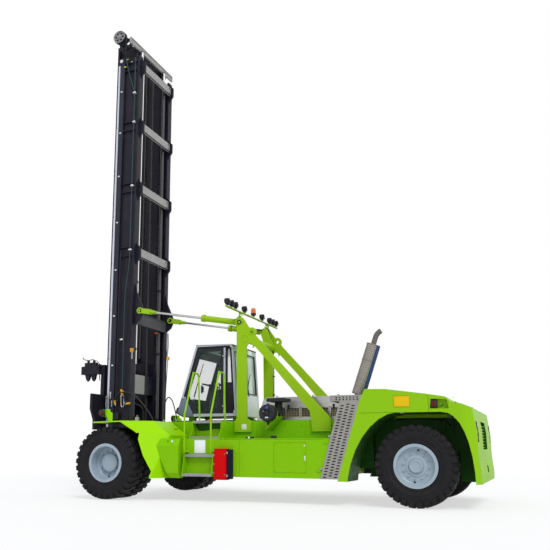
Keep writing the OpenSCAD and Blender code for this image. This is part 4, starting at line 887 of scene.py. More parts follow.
def makeCabOutside():
    nose, silver, black, band, panel, wipers, door = (Shape() for _ in range(7))
    nose.plate([(-0.952, 1.592), (-0.8, 1.672), (-0.812, 1.72), (-0.832, 1.8), (-0.846, 1.796),
                (-0.826, 1.712), (-0.819, 1.684), (-0.958, 1.606)], "y", -0.657, 0.657, 0.004)
    for y in (0.56, -0.668):
        nose.plate([(-0.812, 1.664), (-0.792, 1.69), (-0.8, 1.745), (-0.822, 1.79), (-0.832, 1.74)], "y", y,
                   y + 0.108, 0.008)
    face, lip = cabLook["face"], cabLook["roofLip"]
    silver.plate([(-1.232, 3.06), (-1.232, 3.068 + lip), (-2.062, 3.046 + lip), (-2.062, 3.03),
                  (-2.048, 3.03), (-2.048, 3.048), (-1.252, 3.07), (-1.252, 3.06)], "y", -0.658, 0.658,
                 0.003)
    for y in cabLook["ribs"]:
        silver.plate([(-1.3, 3.06), (-1.3, 3.078), (-2.0, 3.058), (-2.0, 3.04)], "y", y - 0.03, y + 0.03,
                     0.004)
    for side in (1, -1):
        silver.plate([(-0.975, 1.612), (-0.832, 1.69), (-0.862, 1.792), (-1.004, 2.01), (-1.18, 1.668),
                      (-1.16, 1.612)], "y", side * face, side * (face + 0.005), 0.002)
        silver.bolts([(-1.913, side * (face + 0.006), z) for z in (1.7, 2.0, 2.3, 2.6, 2.9)], (0, side, 0),
                     0.01)
        for ring in cabLook["trim"]:
            black.plate(ring, "y", side * face, side * (face + 0.0025), 0.001)
        black.lathe([(0.02, 0), (0.02, 0.006), (0.012, 0.012), (0.001, 0.013)],
                    (-1.99, side * (face + 0.002), 2.15), (0, side, 0), 20)
    black.plate([(-2.053, 3.051), (-2.062, 3.051), (-2.064, 3.032), (-2.056, 3.032)], "y", -0.655, 0.655,
                0.001)
    band.plate([(-2.064, 2.925), (-2.067, 2.925), (-2.06, 3.028), (-2.057, 3.028)], "y", -0.56, 0.56, 0.0005)
    panel.plate([(-2.149, 1.615), (-2.156, 1.615), (-2.127, 2.055), (-2.12, 2.055)], "y", -0.6, 0.6, 0.003)
    wipers.tube([(-2.16, 0.085, 2.15), (-2.175, 0.085, 2.16), (-2.172, 0.06, 2.11), (-2.163, 0, 2.04),
                 (-2.152, -0.01, 2.035)], 0.011, 8, smooth=5)
    wipers.tube([(-2.112, 0.03, 2.18), (-2.105, -0.18, 2.42)], 0.005, 6)
    wipers.box((-2.118, 0, 2.15), (-2.098, 0.06, 2.185), 0.005)
    wipers.tube([(-2.11, -0.06, 2.2), (-2.095, -0.24, 2.52)], 0.006, 6)
    wipers.tube([(screenX(1.87) + 0.022, 0.02, 1.87), (screenX(2.55) + 0.026, 0.06, 2.55)], 0.007, 6)
    wipers.tube([(screenX(2.05) + 0.018, 0.075, 2.05), (screenX(2.75) + 0.018, 0.06, 2.75)], 0.008, 6)
    wipers.lathe([(0.024, 0), (0.024, 0.016), (0.012, 0.024)], (screenX(1.87) + 0.002, 0.02, 1.87),
                 (0.96, 0, 0.29), 16)
    # grips and gasket of the door, outside and inside
    door.tube([(-1.395, y, z) for y, z in ((0.652, 2.08), (0.69, 2.08), (0.69, 2.22), (0.652, 2.22))], 0.009,
              8, smooth=3)
    door.box((-1.425, 0.645, 2.09), (-1.365, 0.662, 2.21), 0.006)
    door.tube([(x, face + 0.0015, z) for x, z in inset(cabLook["side"], 0.066)], 0.006, 8, True)
    door.tube([(-1.76, 0.604, 1.9), (-1.76, 0.57, 1.915), (-1.74, 0.57, 2.25), (-1.74, 0.604, 2.265)], 0.01,
              8, smooth=3)
    nose.done("cabNose", rubberTrim)
    silver.done("cabTrim", cabSilver)
    black.done("cabSideTrim", rubberTrim)
    band.done("cabRearBand", glass)
    panel.done("cabRearPanel", panelWhite)
    wipers.done("cabWipers", blackPlastic)
    door.done("doorFittings", blackPlastic, "door")


makeSeat()
makeCabSeals()
makeCabInside()
makeCabOutside()
print("cab ready")

lampLook = {
    "rows": (0.5, 0.97, 1.17, 1.38),
    "height": 3.8,
    "back": -2.31,
    "front": -2.23,
    "radius": 0.046,
    "fins": 5,
    "clamps": (-1.27, -0.98, -0.3, 0.3, 0.98, 1.27),
    "bar": (-2.27, 3.69),
    "foot": 0.75,
    "fender": (0.424, 1.5, 1.662),
}


def makeLamps():
    body, lens, bar, dome, foot = (Shape() for _ in range(5))
    z, r, front, back = (lampLook[key] for key in ("height", "radius", "front", "back"))
    barX, barZ = lampLook["bar"]
    for y in (side * row for row in lampLook["rows"] for side in (1, -1)):
        body.lathe([(r + 0.001, 0), (r + 0.006, 0.004), (r + 0.006, 0.02), (r + 0.001, 0.024)],
                   (front - 0.018, y, z), alongX, 28)
        for i in range(lampLook["fins"]):
            body.lathe([(r, 0), (r + 0.005, 0.001), (r + 0.005, 0.004), (r, 0.005)],
                       (back + 0.006 + i * 0.01, y, z), alongX, 24)
        body.lathe([(0.03, 0), (0.03, 0.012), (0.02, 0.018)], (back, y, z), (-1, 0, 0), 16)
        body.tube([(back - 0.012, y, z - 0.01), (back - 0.03, y, z - 0.04), (back + 0.01, y + 0.02,
                z - 0.09), (-2.268, y + 0.02, 3.7)], 0.004, 6, smooth=4)
        for edge in (y + r + 0.008, y - r - 0.008):
            body.box((-2.285, edge - 0.003, z - 0.075), (-2.255, edge + 0.003, z + 0.012))
        body.box((-2.285, y - r - 0.01, z - 0.078), (-2.255, y + r + 0.01, z - 0.07))
        lens.lathe([(0.002, 0.01), (0.03, 0.009), (r - 0.004, 0.002), (r - 0.002, 0)], (front, y, z), alongX,
                   28)
    for y in lampLook["clamps"]:
        bar.tube([(barX + a, y + 0.016 * a * b / 0.0225 ** 2, barZ + b) for a, b in circle(16, 0.0225)],
                 0.004, 6, True)
    for y in (lampLook["foot"], -lampLook["foot"]):
        turn = 1 if y > 0 else -1
        bar.box((-2.3, y - 0.035, 3.588), (-2.24, y + 0.035, 3.6), 0.004)
        bar.bolts([(-2.285, y - 0.022, 3.6), (-2.255, y + 0.022, 3.6)], alongZ, 0.012)
        bar.plate([(-2.345, 3.595), (-2.288, 3.64), (-2.288, 3.665), (-2.35, 3.61)], "y", y - turn * 0.005,
                  y + turn * 0.005)
    body.tube([(-2.29, y, 3.672) for y in (-1.4, -0.9, -0.5, 0, 0.5, 0.9, 1.4)], 0.006, 6)
    dome.lathe([(0.05, 0), (0.0515, 0.01), (0.0515, 0.07), (0.047, 0.094), (0.034, 0.11), (0.014, 0.118),
                (0.001, 0.119)], (barX, 0, 3.786), alongZ, 36)
    for z in (3.8, 3.815, 3.83, 3.845):
        dome.lathe([(0.0512, 0), (0.0528, 0.002), (0.0528, 0.005), (0.0512, 0.007)], (barX, 0, z), alongZ,
                   36)
    foot.lathe([(0.04, -0.03), (0.055, -0.026), (0.057, 0), (0.057, 0.014), (0.051, 0.018)],
               (barX, 0, 3.772), alongZ, 32)
    foot.tube([(-2.27, 0.03, 3.75), (-2.285, 0.05, 3.73), (-2.29, 0.08, 3.69)], 0.004, 6, smooth=3)
    body.done("workLampBodies", blackPlastic)
    lens.done("workLampLenses", lampGlass, angle=60)
    bar.done("lightBarBands", frameLime)
    dome.done("beaconDome", orangeLens, angle=60)
    foot.done("beaconFoot", blackPlastic)


def makeFenderLamps():
    black, ring, clear = both = [Shape() for _ in range(3)]
    x, y, z = lampLook["fender"]
    black.lathe([(0.02, -0.012), (0.055, -0.01), (0.074, 0.006), (0.078, 0.052), (0.07, 0.056)],
                (x - 0.026, y, z), alongX, 32)
    clear.lathe([(0.001, 0.012), (0.04, 0.009), (0.069, 0)], (x + 0.029, y, z), alongX, 32)
    black.lathe([(0.01, -0.06), (0.052, -0.056), (0.066, -0.04), (0.068, 0), (0.06, 0.004)], (x, y + 0.085,
            z), alongY, 32)
    ring.lathe([(0.044, 0), (0.043, 0.008), (0.034, 0.013), (0.022, 0.01), (0.014, 0.006), (0.001, 0.004)],
               (x, y + 0.085, z), alongY, 32)
    black.tube([(0.386, y, 1.63), (0.345, y + 0.01, 1.58), (0.3, y + 0.012, 1.5), (0.25, y, 1.462)], 0.006,
               6, smooth=4)
    mirror(*both)
    for y in (-y, y):
        black.bolts([(0.386, y - 0.05, 1.615), (0.386, y + 0.05, 1.715)], alongX, 0.012)
    black.done("frontLampBodies", blackPlastic)
    ring.done("frontLampRings", reflectorRed, angle=60)
    clear.done("frontLampLenses", lampGlass, angle=60)


coverLook = {
    "rear": -4.4,
    "front": -2.88,
    "windows": 5,
    "pitch": 0.032,
    "wire": 0.004,
    "face": 0.62,
    "latches": (-4.15, -3.7, -3.25, -2.92),
    "handles": (-2.95, -3.7, -4.2),
    "louvres": 9,
}


def makeEngineCover():
    grid, band, latch = both = [Shape() for _ in range(3)]
    wire, pitch, face = coverLook["wire"], coverLook["pitch"], coverLook["face"]
    step = (coverLook["front"] - coverLook["rear"] - 0.06) / coverLook["windows"]
    y = face - 0.017
    for i in range(coverLook["windows"]):
        x0 = coverLook["rear"] + 0.06 + i * step
        x1 = x0 + step - 0.045
        for k in range(int((x1 - x0) / pitch) + 1):
            x = x0 + k * pitch
            grid.box((x - wire, y - wire, 1.552), (x + wire, y + wire, 1.748))
        for k in range(6):
            z = 1.575 + k * pitch
            grid.box((x0 - 0.008, y - 0.004 - wire, z - wire), (x1 + 0.008, y - 0.004 + wire, z + wire))
        for z in (1.557, 1.743):
            band.box((x0 - 0.012, face, z - 0.008), (x1 + 0.012, face + 0.006, z + 0.008), 0.002)
        for x in (x0 - 0.006, x1 + 0.006):
            band.box((x - 0.008, face, 1.549), (x + 0.008, face + 0.006, 1.751), 0.002)
        grid.box((x1 + 0.008, face - 0.0005, 1.55), (x1 + 0.037, face + 0.0015, 1.75), 0.0005)
        grid.rod((x1 + 0.022, face + 0.003, 1.552), (x1 + 0.022, face + 0.003, 1.748), 0.0035, 6)
    for end, z in ((-2.745, 1.765), (-2.8, 1.925)):
        band.box((-4.36, face, z), (end, face + 0.0045, z + 0.01), 0.001)
    for x in coverLook["latches"]:
        latch.box((x - 0.02, face, 1.715), (x + 0.02, face + 0.022, 1.8), 0.006)
        latch.box((x - 0.012, face + 0.022, 1.725), (x + 0.012, face + 0.03, 1.775), 0.003)
    for x in coverLook["handles"]:
        latch.tube([(x, y, z) for y, z in ((0.4, 1.95), (0.4, 1.985), (0.5, 1.985), (0.5, 1.95))], 0.006, 8,
                   smooth=3)
    mirror(*both)
    band.plate([(-2.795, 1.9505), (-2.795, 1.954), (-4.395, 1.954), (-4.395, 1.9505)], "y", -0.6, 0.6, 0.001)
    for i in range(coverLook["louvres"]):
        x = -3.05 - i * 0.06
        band.plate([(x - 0.003, 1.952), (x + 0.004, 1.97), (x + 0.034, 1.972), (x + 0.034, 1.968),
                    (x + 0.01, 1.964)], "y", -0.305, 0.305)
    grid.done("engineCoverGrids", copperGrid)
    band.done("engineCoverBands", zinc)
    latch.done("engineCoverLatches", blackPlastic)


exhaustLook = {
    "lean": math.radians(19),
    "foot": (-4.7, 1.0, 1.8853),
    "radius": 0.1175,
    "opening": (math.radians(36), math.radians(324)),
    "span": (0.075, 1.008),
    "rows": 24,
    "columns": 20,
    "bend": 0.2,
    "band": [(0.0855, 0), (0.09, 0.004), (0.09, 0.02), (0.0855, 0.024)],
}


def makeExhaust():
    shield, bands, dark, edge = (Shape() for _ in range(4))
    lean, r = exhaustLook["lean"], exhaustLook["radius"]
    foot = Vector(exhaustLook["foot"])
    up = Vector((-math.sin(lean), 0, math.cos(lean)))
    back = Vector((-math.cos(lean), 0, -math.sin(lean)))

    def at(radius, turn, along):
        return foot + up * along + (back * math.cos(turn) + Vector(alongY) * math.sin(turn)) * radius

    # the bent sheet: one square with a round hole for each step up and round
    mesh = shield.mesh
    (start, stop), (low, high) = exhaustLook["opening"], exhaustLook["span"]
    rows, columns = exhaustLook["rows"], exhaustLook["columns"]
    tall, wide = (high - low) / rows, (stop - start) / columns
    for i in range(rows):
        for k in range(columns):
            z, turn = low + tall * (i + 0.5), start + wide * (k + 0.5)
            square = ((-1, -1), (0, -1), (1, -1), (1, 0), (1, 1), (0, 1), (-1, 1), (-1, 0))
            square = [(turn + wide * a / 2, z + tall * b / 2) for a, b in square]
            hole = [(turn + wide * a, z + tall * b) for a, b in circle(8, 0.27, 5)]
            outer, inner, deep = ([mesh.verts.new(at(radius, *spot)) for spot in outline]
                                  for radius, outline in ((r, square), (r, hole), (r - 0.002, hole)))
            for n in range(8):
                m = (n + 1) % 8
                mesh.faces.new((outer[n], outer[m], inner[m], inner[n]))
                mesh.faces.new((inner[n], inner[m], deep[m], deep[n]))
    for along in (0.07, 0.34, 0.7, 1.0):
        bands.tube([at(r + 0.003, start + (stop - start) * n / 24, along) for n in range(25)], 0.007, 6)
    for turn in (start, stop):
        bands.tube([at(r, turn, low), at(r, turn, high)], 0.005, 6)
    bands.lathe([(0.049, 0), (0.062, 0.004), (0.062, 0.03), (0.049, 0.034)], foot + up * 0.965, up, 32)
    bands.bolts([foot + Vector((a, b, 0.012)) for a, b in circle(4, 0.105, 0.5)], alongZ, 0.016)
    for radius, turn, size in ((r + 0.004, -32, 0.016), (r + 0.004, 32, 0.016), (r - 0.01, 0, 0.02)):
        edge.tube([at(radius, math.radians(turn), low), at(radius, math.radians(turn), high)], size, 8)
    for along in (0.3, 0.72):
        dark.lathe(exhaustLook["band"], foot + up * along, up, 32)
    bend = exhaustLook["bend"]
    centre = foot + up * 1.14 + back * bend
    turns = [math.radians(45 * n / 8) for n in (7, 8)]
    before, mouth = (centre + (up * math.sin(a) - back * math.cos(a)) * bend for a in turns)
    dark.lathe([(0.0475, -0.01), (0.05, -0.01), (0.051, 0.003), (0.046, 0.004), (0.042, -0.004),
                (0.041, -0.06)], mouth, mouth - before, 32)
    shield.done("exhaustShield", shieldSteel)
    edge.done("exhaustEdge", pipeBlue)
    bands.done("exhaustBands", shieldSteel)
    dark.done("exhaustPipeRims", scaleSteel)


airLook = {
    "centre": (-3.025, 1.62),
    "end": 1.25,
    "radius": 0.16,
    "intake": (-3.18, 1.0),
}


def makeAirCleaner():
    x, z = airLook["centre"]
    end, r = airLook["end"], airLook["radius"]
    black, bracket, blue, white = (Shape() for _ in range(4))
    black.lathe([(r + 0.001, 0), (r + 0.006, 0.003), (r + 0.006, 0.016), (r + 0.001, 0.019)],
                (x, end - 0.085, z), alongY, 48)
    for a, b in circle(6, r + 0.008, 0.5):
        black.box((x + a - 0.012, end - 0.11, z + b - 0.012), (x + a + 0.012, end - 0.05, z + b + 0.012),
                  0.004)
    for a, b in circle(12):
        black.tube([(x + size * a, end + 0.001, z + size * b) for size in (0.08, 0.132)], 0.004, 6)
    black.lathe([(0.03, -0.022), (0.042, -0.012), (0.04, -0.006), (0.02, -0.002), (0.001, -0.001)],
                (x, end, z), alongY, 32)
    for y in (0.86, 0.92, 0.98):
        black.lathe([(r - 0.015, 0), (r - 0.008, 0.004), (r - 0.008, 0.012), (r - 0.015, 0.016)], (x, y, z),
                    alongY, 40)
    black.tube([(x, 0.735, z + 0.02), (x + 0.02, 0.62, z + 0.06), (x - 0.05, 0.52, z + 0.05)], 0.062, 16,
               smooth=5)
    black.lathe([(0.066, 0), (0.07, 0.003), (0.07, 0.015), (0.066, 0.018)], (x, 0.7, z + 0.03), alongY, 24)
    boxX, boxY = airLook["intake"]
    for n in range(3):
        black.lathe([(0.0725, 0), (0.078, 0.006), (0.0725, 0.012)], (boxX, boxY, 1.775 + n * 0.017), alongZ,
                    32)
    for n in range(5):
        y = boxY + (n - 2) * 0.07
        black.box((boxX - 0.165, y - 0.01, 1.894), (boxX + 0.165, y + 0.01, 1.901), 0.003)
    black.lathe([(0.03, 0), (0.03, 0.03), (0.016, 0.055), (0.01, 0.075)], (x + 0.02, 1.1, z - 0.15),
                (0.1, 0, -1), 14)
    bracket.plate([(x + 0.101, 1.298), (x + 0.15, 1.548), (x + 0.15, 1.566), (x - 0.15, 1.566),
                   (x - 0.15, 1.548)], "y", 0.7305, 1.0335, 0.003)
    bracket.bolts([(x + 0.075, 1.0335, 1.5), (x - 0.09, 1.0335, 1.535)], alongY, 0.016)
    for y in (0.87, 1.07):
        bracket.tube([(x + a, y, z + b) for a, b in circle(32, r - 0.003)], 0.006, 6, True)
    blue.lathe([(0.001, 0.005), (0.02, 0.005), (0.025, 0.002), (0.026, 0)], (x - 0.004, end, z + 0.098),
               alongY, 24)
    white.box((x - 0.03, end - 0.001, z - 0.098), (x + 0.026, end + 0.003, z - 0.076), 0.001)
    white.box((x + 0.06, end - 0.002, z + 0.02), (x + 0.075, end + 0.002, z + 0.03), 0.001)
    black.done("airCleanerFittings", blackPlastic)
    bracket.done("airCleanerBracket", frameLime)
    blue.done("airCleanerDot", blueMark, angle=60)
    white.done("airCleanerLabel", panelWhite)


makeLamps()
makeFenderLamps()
makeEngineCover()
makeExhaust()
makeAirCleaner()
print("lamps, cover, exhaust and air cleaner ready")

bodyLook = {
    "treads": [(1.6, 1.8, 0.5), (1.6, 1.7, 0.85), (1.25, 1.5, 1.18), (0.77, 1.38, 1.482)],
    "treadEnds": (-2.132, -1.558),
    "stud": 0.04,
    "cheeks": ((-1, -2.152), (1, -1.538)),
    "cheekBolts": ((1.64, 0.47), (1.76, 0.53), (1.64, 0.83), (1.3, 1.15), (1.46, 1.15), (0.86, 1.45),
                   (1.02, 1.45),
                   (1.18, 1.45), (1.33, 1.45)),
    "locker": ((-2.42, 1.602, 0.405), (-2.18, 1.75, 0.955)),
    "climbShadeSheet": [(-4.158, 0.452), (-4.537, 1.77), (-4.872, 1.77), (-4.462, 0.452)],
    "climbBolts": ((-4.86, 0.46), (-4.5, 0.46), (-4.2, 0.46), (-4.6, 1.25), (-4.39, 1.25), (-4.42, 1.83),
                   (-4.8, 1.83)),
    "tankFace": 1.6,
    "tankBolts": ((-3.87, 0.57), (-3.87, 1.045), (-3.595, 0.57), (-3.595, 1.045), (-3.32, 0.57),
                  (-3.32, 1.045),
                  (-3.87, 0.72), (-3.32, 0.72), (-3.87, 0.88), (-3.32, 0.88)),
    "rearFace": 1.62,
    "sign": ((-1.93, 0.876), (-1.703, 1.113)),
    "plate": ((-5.74, 1.655), (-5.464, 1.852)),
    "recess": ((-6.362, 1.622), (-6.058, 1.788)),
    "recessDepth": 1.54,
    "tailFace": -6.738,
}


def makeSteps():
    grip, fixings, lugs, gusset, treadShadow = (Shape() for _ in range(5))
    x0, x1 = bodyLook["treadEnds"]
    stud = bodyLook["stud"]
    for y0, y1, z in bodyLook["treads"]:
        grip.box((x0, y0 + 0.003, z - 0.001), (x1, y1 - 0.003, z + 0.003), 0.001)
        grip.box((x0, y1 - 0.006, z - 0.045), (x1, y1 + 0.001, z + 0.004), 0.001)
        grip.box((x0, y0 - 0.001, z - 0.034), (x1, y0 + 0.006, z + 0.003), 0.001)
        for k in range(9):
            x = x0 + 0.035 + k * (x1 - x0 - 0.07) / 8
            grip.box((x - 0.003, y0 + 0.006, z - 0.03), (x + 0.003, y1 - 0.006, z - 0.006))
        across = max(1, int((y1 - y0 - 0.03) / stud))
        for k in range(across + 1):
            for i in range(int((x1 - x0 - 0.03) / stud) + 1):
                spot = (x0 + 0.02 + i * stud, y0 + 0.018 + k * (y1 - y0 - 0.036) / across, z + 0.002)
                grip.lathe([(0.012, 0), (0.01, 0.004), (0.006, 0.004), (0.005, 0.001)], spot, alongZ, 8)
    for side, x in bodyLook["cheeks"]:
        fixings.bolts([(x, y, z) for y, z in bodyLook["cheekBolts"]], (side, 0, 0), 0.014)
    for x in (-2.12, -1.57):
        lugs.box((x - 0.032, 1.597, 0.865), (x + 0.032, 1.606, 0.935), 0.003)
        lugs.lathe([(0.034, 0), (0.034, 0.006), (0.018, 0.01)], (x, 1.12, 1.483), alongZ, 20)
        fixings.bolts([(x, 1.606, 0.876), (x, 1.606, 0.924)], alongY, 0.01)
        for y, z in ((1.77, 1.6), (1.77, 0.905), (1.42, 2.405)):
            lugs.lathe([(0.0175, -0.02), (0.0195, -0.017), (0.0195, 0.017), (0.0175, 0.02)], (x, y, z),
                       (0, 0.1, 1), 16)
    for x in (-2.1545, -1.5405):
        gusset.plate([(0.79, 1.472), (1.362, 1.472), (1.33, 1.33), (1.06, 1.215), (0.79, 1.235)], "x", x,
                     x + 0.005, 0.001)
    gusset.box((-2.138, 1.244, 1.186), (-1.556, 1.249, 1.462), 0.001)
    # painted shadow: dark green sheet on the riser, shaded by the tread above
    treadShadow.plate([(-2.138, 1.44), (-1.556, 1.44), (-1.556, 1.39), (-1.612, 1.296), (-1.758, 1.296),
                 (-1.946, 1.329), (-2.138, 1.331)], "y", 1.2495, 1.2525, 0.001)
    gusset.done("stepGussets", lime)
    treadShadow.done("stepTreadShadow", archGreen)
    grip.done("stepGrips", treadSteel)
    fixings.done("stepBolts", zinc)
    lugs.done("handrailLugs", lime)


def makeLocker():
    # the red box's shell, straps and clips, and the dark box beside it
    shell, strap, clips, side = (Shape() for _ in range(4))
    (x0, y0, z0), (x1, y1, z1) = bodyLook["locker"]
    shell.box((x0 + 0.004, y1 - 0.002, z0 + 0.01), (x1 - 0.004, y1 + 0.008, z1 - 0.01), 0.006)
    shell.box((x0 + 0.03, y1 + 0.006, z0 + 0.045), (x1 - 0.03, y1 + 0.011, z1 - 0.05), 0.004)
    shell.box((x0 - 0.003, y0, z1 - 0.006), (x1 + 0.003, y1 + 0.01, z1 + 0.006), 0.005)
    shell.box((x0 - 0.003, y0, z0 - 0.005), (x1 + 0.003, y1 + 0.008, z0 + 0.008), 0.004)
    for z in (0.52, 0.68, 0.84):
        strap.box((x1 - 0.001, y0 + 0.01, z - 0.014), (x1 + 0.004, y1 - 0.01, z + 0.014), 0.001)
        clips.box((x1 + 0.001, y1 - 0.045, z - 0.02), (x1 + 0.012, y1 - 0.004, z + 0.02), 0.003)
    for end, way in ((z0, 1), (z1, -1)):
        z, pull = end + way * 0.07, end + way * 0.09
        clips.box((x0 - 0.03, y1 - 0.018, z - 0.02), (x0 - 0.006, y1 - 0.006, z + 0.02), 0.003)
        clips.tube([(x0 + 0.03, y1 + 0.006, pull), (x0 + 0.012, y1 + 0.009, pull)], 0.006, 8)
    side.box((-2.504, 1.602, 0.415), (-2.422, 1.736, 0.945), 0.01)
    side.box((-2.496, 1.734, 0.46), (-2.432, 1.742, 0.9), 0.004)
    for z in (0.5, 0.86):
        side.box((-2.509, 1.66, z - 0.02), (-2.5, 1.715, z + 0.02), 0.003)
    shell.done("redBoxShell", redPlastic)
    strap.done("redBoxStrap", rubberTrim)
    clips.done("redBoxClips", zinc)
    side.done("sideBoxShell", navyPlastic)


def makeTanks():
    sign, fixings, cap, seams, black, lamp = (Shape() for _ in range(6))
    face = bodyLook["tankFace"]
    fixings.bolts([(x, face + 0.003, z) for x, z in bodyLook["tankBolts"]], alongY, 0.014)
    fixings.bolts([(x, face, 1.1) for x in (-2.7, -2.95, -3.1)], alongY, 0.012)
    seams.tube([(-2.62, face, 0.47), (-2.62, face, 1.12)], 0.0022, 6)
    seams.tube([(-4.23, face, 1.128), (-2.2, face, 1.128)], 0.0024, 6)
    cap.lathe([(0.062, -0.002), (0.062, 0.012), (0.052, 0.014), (0.052, 0.04), (0.048, 0.046), (0.02, 0.05)],
              (-3.25, 1.48, 1.146), alongZ, 32)
    for x, y in circle(10, 0.05):
        cap.box((x - 3.254, y + 1.476, 1.16), (x - 3.246, y + 1.484, 1.186), 0.002)
    black.box((-2.87, 1.47, 1.146), (-2.715, 1.53, 1.176), 0.01)
    mirror(fixings, cap, seams, black)
    (x0, z0), (x1, z1) = bodyLook["sign"]
    sign.box((x0, face - 0.001, z0), (x1, face + 0.0025, z1), 0.0015)
    sign.box((-2.8, face - 0.09, 1.146), (-2.77, face - 0.05, 1.178), 0.004)
    sign.box((-3.885, face - 0.001, 1.01), (-3.86, face + 0.006, 1.03), 0.003)
    sign.box((-3.885, face - 0.001, 0.76), (-3.868, face + 0.006, 0.84), 0.003)
    sign.lathe([(0.022, -0.001), (0.022, 0.003), (0.012, 0.004), (0.012, -0.001), (0.022, -0.001)],
               (-1.33, 1.7985, 1.09), alongY, 20)
    black.box((-1.3, 1.5, 1.318), (-1.23, 1.545, 1.33), 0.002)
    black.lathe([(0.012, -0.001), (0.012, 0.003), (0.006, 0.004)], (-1.24, 1.7985, 1.095), alongY, 16)
    lamp.box((-1.925, 1.376, 1.486), (-1.88, 1.392, 1.506), 0.004)
    sign.done("blankSigns", panelWhite)
    fixings.done("tankBolts", lime)
    cap.done("tankCaps", blackPlastic)
    seams.done("tankSeams", shadeLime)
    black.done("tankGrommets", rubberTrim)
    lamp.done("markerLamp", orangeLens, angle=60)


def makeRear():
    both = [Shape() for _ in range(9)]
    plate, black, red, amber, dim, seams, steel, lips, inner = both
    (x0, z0), (x1, z1) = bodyLook["plate"]
    y, deep = bodyLook["rearFace"], bodyLook["recessDepth"]
    plate.box((x0, y - 0.001, z0), (x1, y + 0.0025, z1), 0.0018)
    for x, z in corners((x0, z0), (x1, z1), 0.012):
        steel.lathe([(0.005, 0.002), (0.004, 0.004), (0.001, 0.0045)], (x, y, z), alongY, 10)
    black.tube([(x, y + 0.002, z) for x, z in corners((x0, z0), (x1, z1), 0.006)], 0.0035, 6, True)
    lips.tube([(x, y, z) for x, z in corners(*bodyLook["recess"])], 0.004, 6, True)
    # the lamp at the front of the recess
    low, (x, high) = bodyLook["recess"][0][1], bodyLook["recess"][1]
    black.box((x - 0.118, deep - 0.001, low + 0.01), (x - 0.006, 1.604, high - 0.008), 0.01)
    for shift in (-0.104, -0.056):
        dim.box((x + shift, 1.6, low + 0.034), (x + shift + 0.032, 1.612, high - 0.04), 0.006)
    black.tube([(x - 0.12, 1.56, low + 0.05), (x - 0.18, 1.552, low + 0.045), (x - 0.22, 1.545,
            low + 0.075)], 0.005, 6, smooth=4)
    seams.tube([(-4.87, y, 1.57), (-5.49, y, 1.57)], 0.0028, 6)
    seams.tube([(-6.04, y, 1.555), (-6.04, y, 1.842)], 0.0028, 6)
    steel.bolts([(-5.585, y, 1.56), (-5.62, y, 1.56), (-4.98, y, 1.6), (-5.2, y, 1.6), (-5.9, y, 1.8),
                 (-6.45, y, 1.8)], alongY, 0.01)
    # brackets on the inside of the wheel house, in painted shade green
    for x in (-6.3, -6.15):
        inner.box((x - 0.012, 0.562, 1.24), (x + 0.012, 0.65, 1.545), 0.004)
    black.tube([(-5.3, 0.58, 1.47), (-5.7, 0.6, 1.5), (-6.12, 0.62, 1.46), (-6.26, 0.64, 1.36)], 0.016, 8,
               smooth=5)
    # tail lamps in the counterweight
    back = bodyLook["tailFace"]
    black.box((back - 0.01, 1.19, 1.095), (back + 0.004, 1.41, 1.405), 0.004)
    for k, lens in enumerate((red, amber, red)):
        spot = (back - 0.01, 1.3, 1.145 + k * 0.105)
        lens.lathe([(0.001, 0.018), (0.028, 0.014), (0.042, 0.002), (0.042, 0)], spot, (-1, 0, 0), 28)
        black.lathe([(0.042, 0), (0.048, 0.002), (0.05, 0.01), (0.044, 0.013)], spot, (-1, 0, 0), 28)
    steel.bolts([(back - 0.04, 0.95, 0.6), (back - 0.034, 0.95, 0.8)], (-1, 0, 0), 0.03)
    mirror(*both)
    # louvres and core behind the air opening
    for k in range(9):
        z = 0.985 + k * 0.052
        black.plate([(-6.728, z), (-6.69, z + 0.026), (-6.687, z + 0.022), (-6.724, z - 0.003)], "y", -0.428,
                    0.428)
    for k in range(22):
        y = -0.42 + k * 0.04
        steel.box((-6.665, y - 0.004, 0.962), (-6.655, y + 0.004, 1.438))
    black.box((-6.655, -0.429, 0.961), (-6.65, 0.429, 1.439))
    steel.lathe([(0.001, 0), (0.03, 0), (0.034, 0.006), (0.034, 0.016), (0.026, 0.02), (0.001, 0.02)],
                (-6.735, 0, 0.725), alongZ, 24)
    steel.tube([(a * 0.03 - 6.735, 0, b * 0.026 + 0.765) for a, b in circle(16)], 0.005, 8, True)
    plate.done("blankPlates", plateYellow)
    black.done("rearFittings", blackPlastic)
    dim.done("recessLamps", reflectorRed, angle=60)
    red.done("tailLampRed", redLens, angle=60)
    amber.done("tailLampAmber", orangeLens, angle=60)
    seams.done("rearSeams", shadeLime)
    steel.done("rearSteel", zinc)
    lips.done("rearLips", rearLime)
    inner.done("wheelHouseBrackets", archGreen)


def makeStepPlate():
    # bolts and lugs on the slotted climbing plate, and a dark sheet behind it: painted shade in the slots
    steel, edge, shadeSheet = (Shape() for _ in range(3))
    for side in (1, -1):
        starts = [(x, side * 3, z) for x, z in bodyLook["climbBolts"]]
        found = spots("rear_steps", starts, (0, -side, 0))
        steel.bolts([spot for spot in found if abs(spot.y) > 1.55], (0, side, 0), 0.014)
        for x, y, z in spots("rear_steps", [(-4.05, side * 1.61, z) for z in (0.62, 1.18)], (-1, 0, 0)):
            edge.box((x - 0.004, y - 0.014, z - 0.02), (x + 0.045, y + 0.014, z + 0.02), 0.004)
        # painted shade: dark sheet seen through the plate's slots
        shadeSheet.plate(bodyLook["climbShadeSheet"], "y", side * 1.592, side * 1.596, 0.001)
    shadeSheet.done("climbPlateShadeSheet", rubberTrim)
    steel.done("climbPlateBolts", zinc)
    edge.done("climbPlateLugs", shieldSteel)


makeSteps()
makeLocker()
makeTanks()
makeRear()
makeStepPlate()
print("steps, tanks and rear ready")


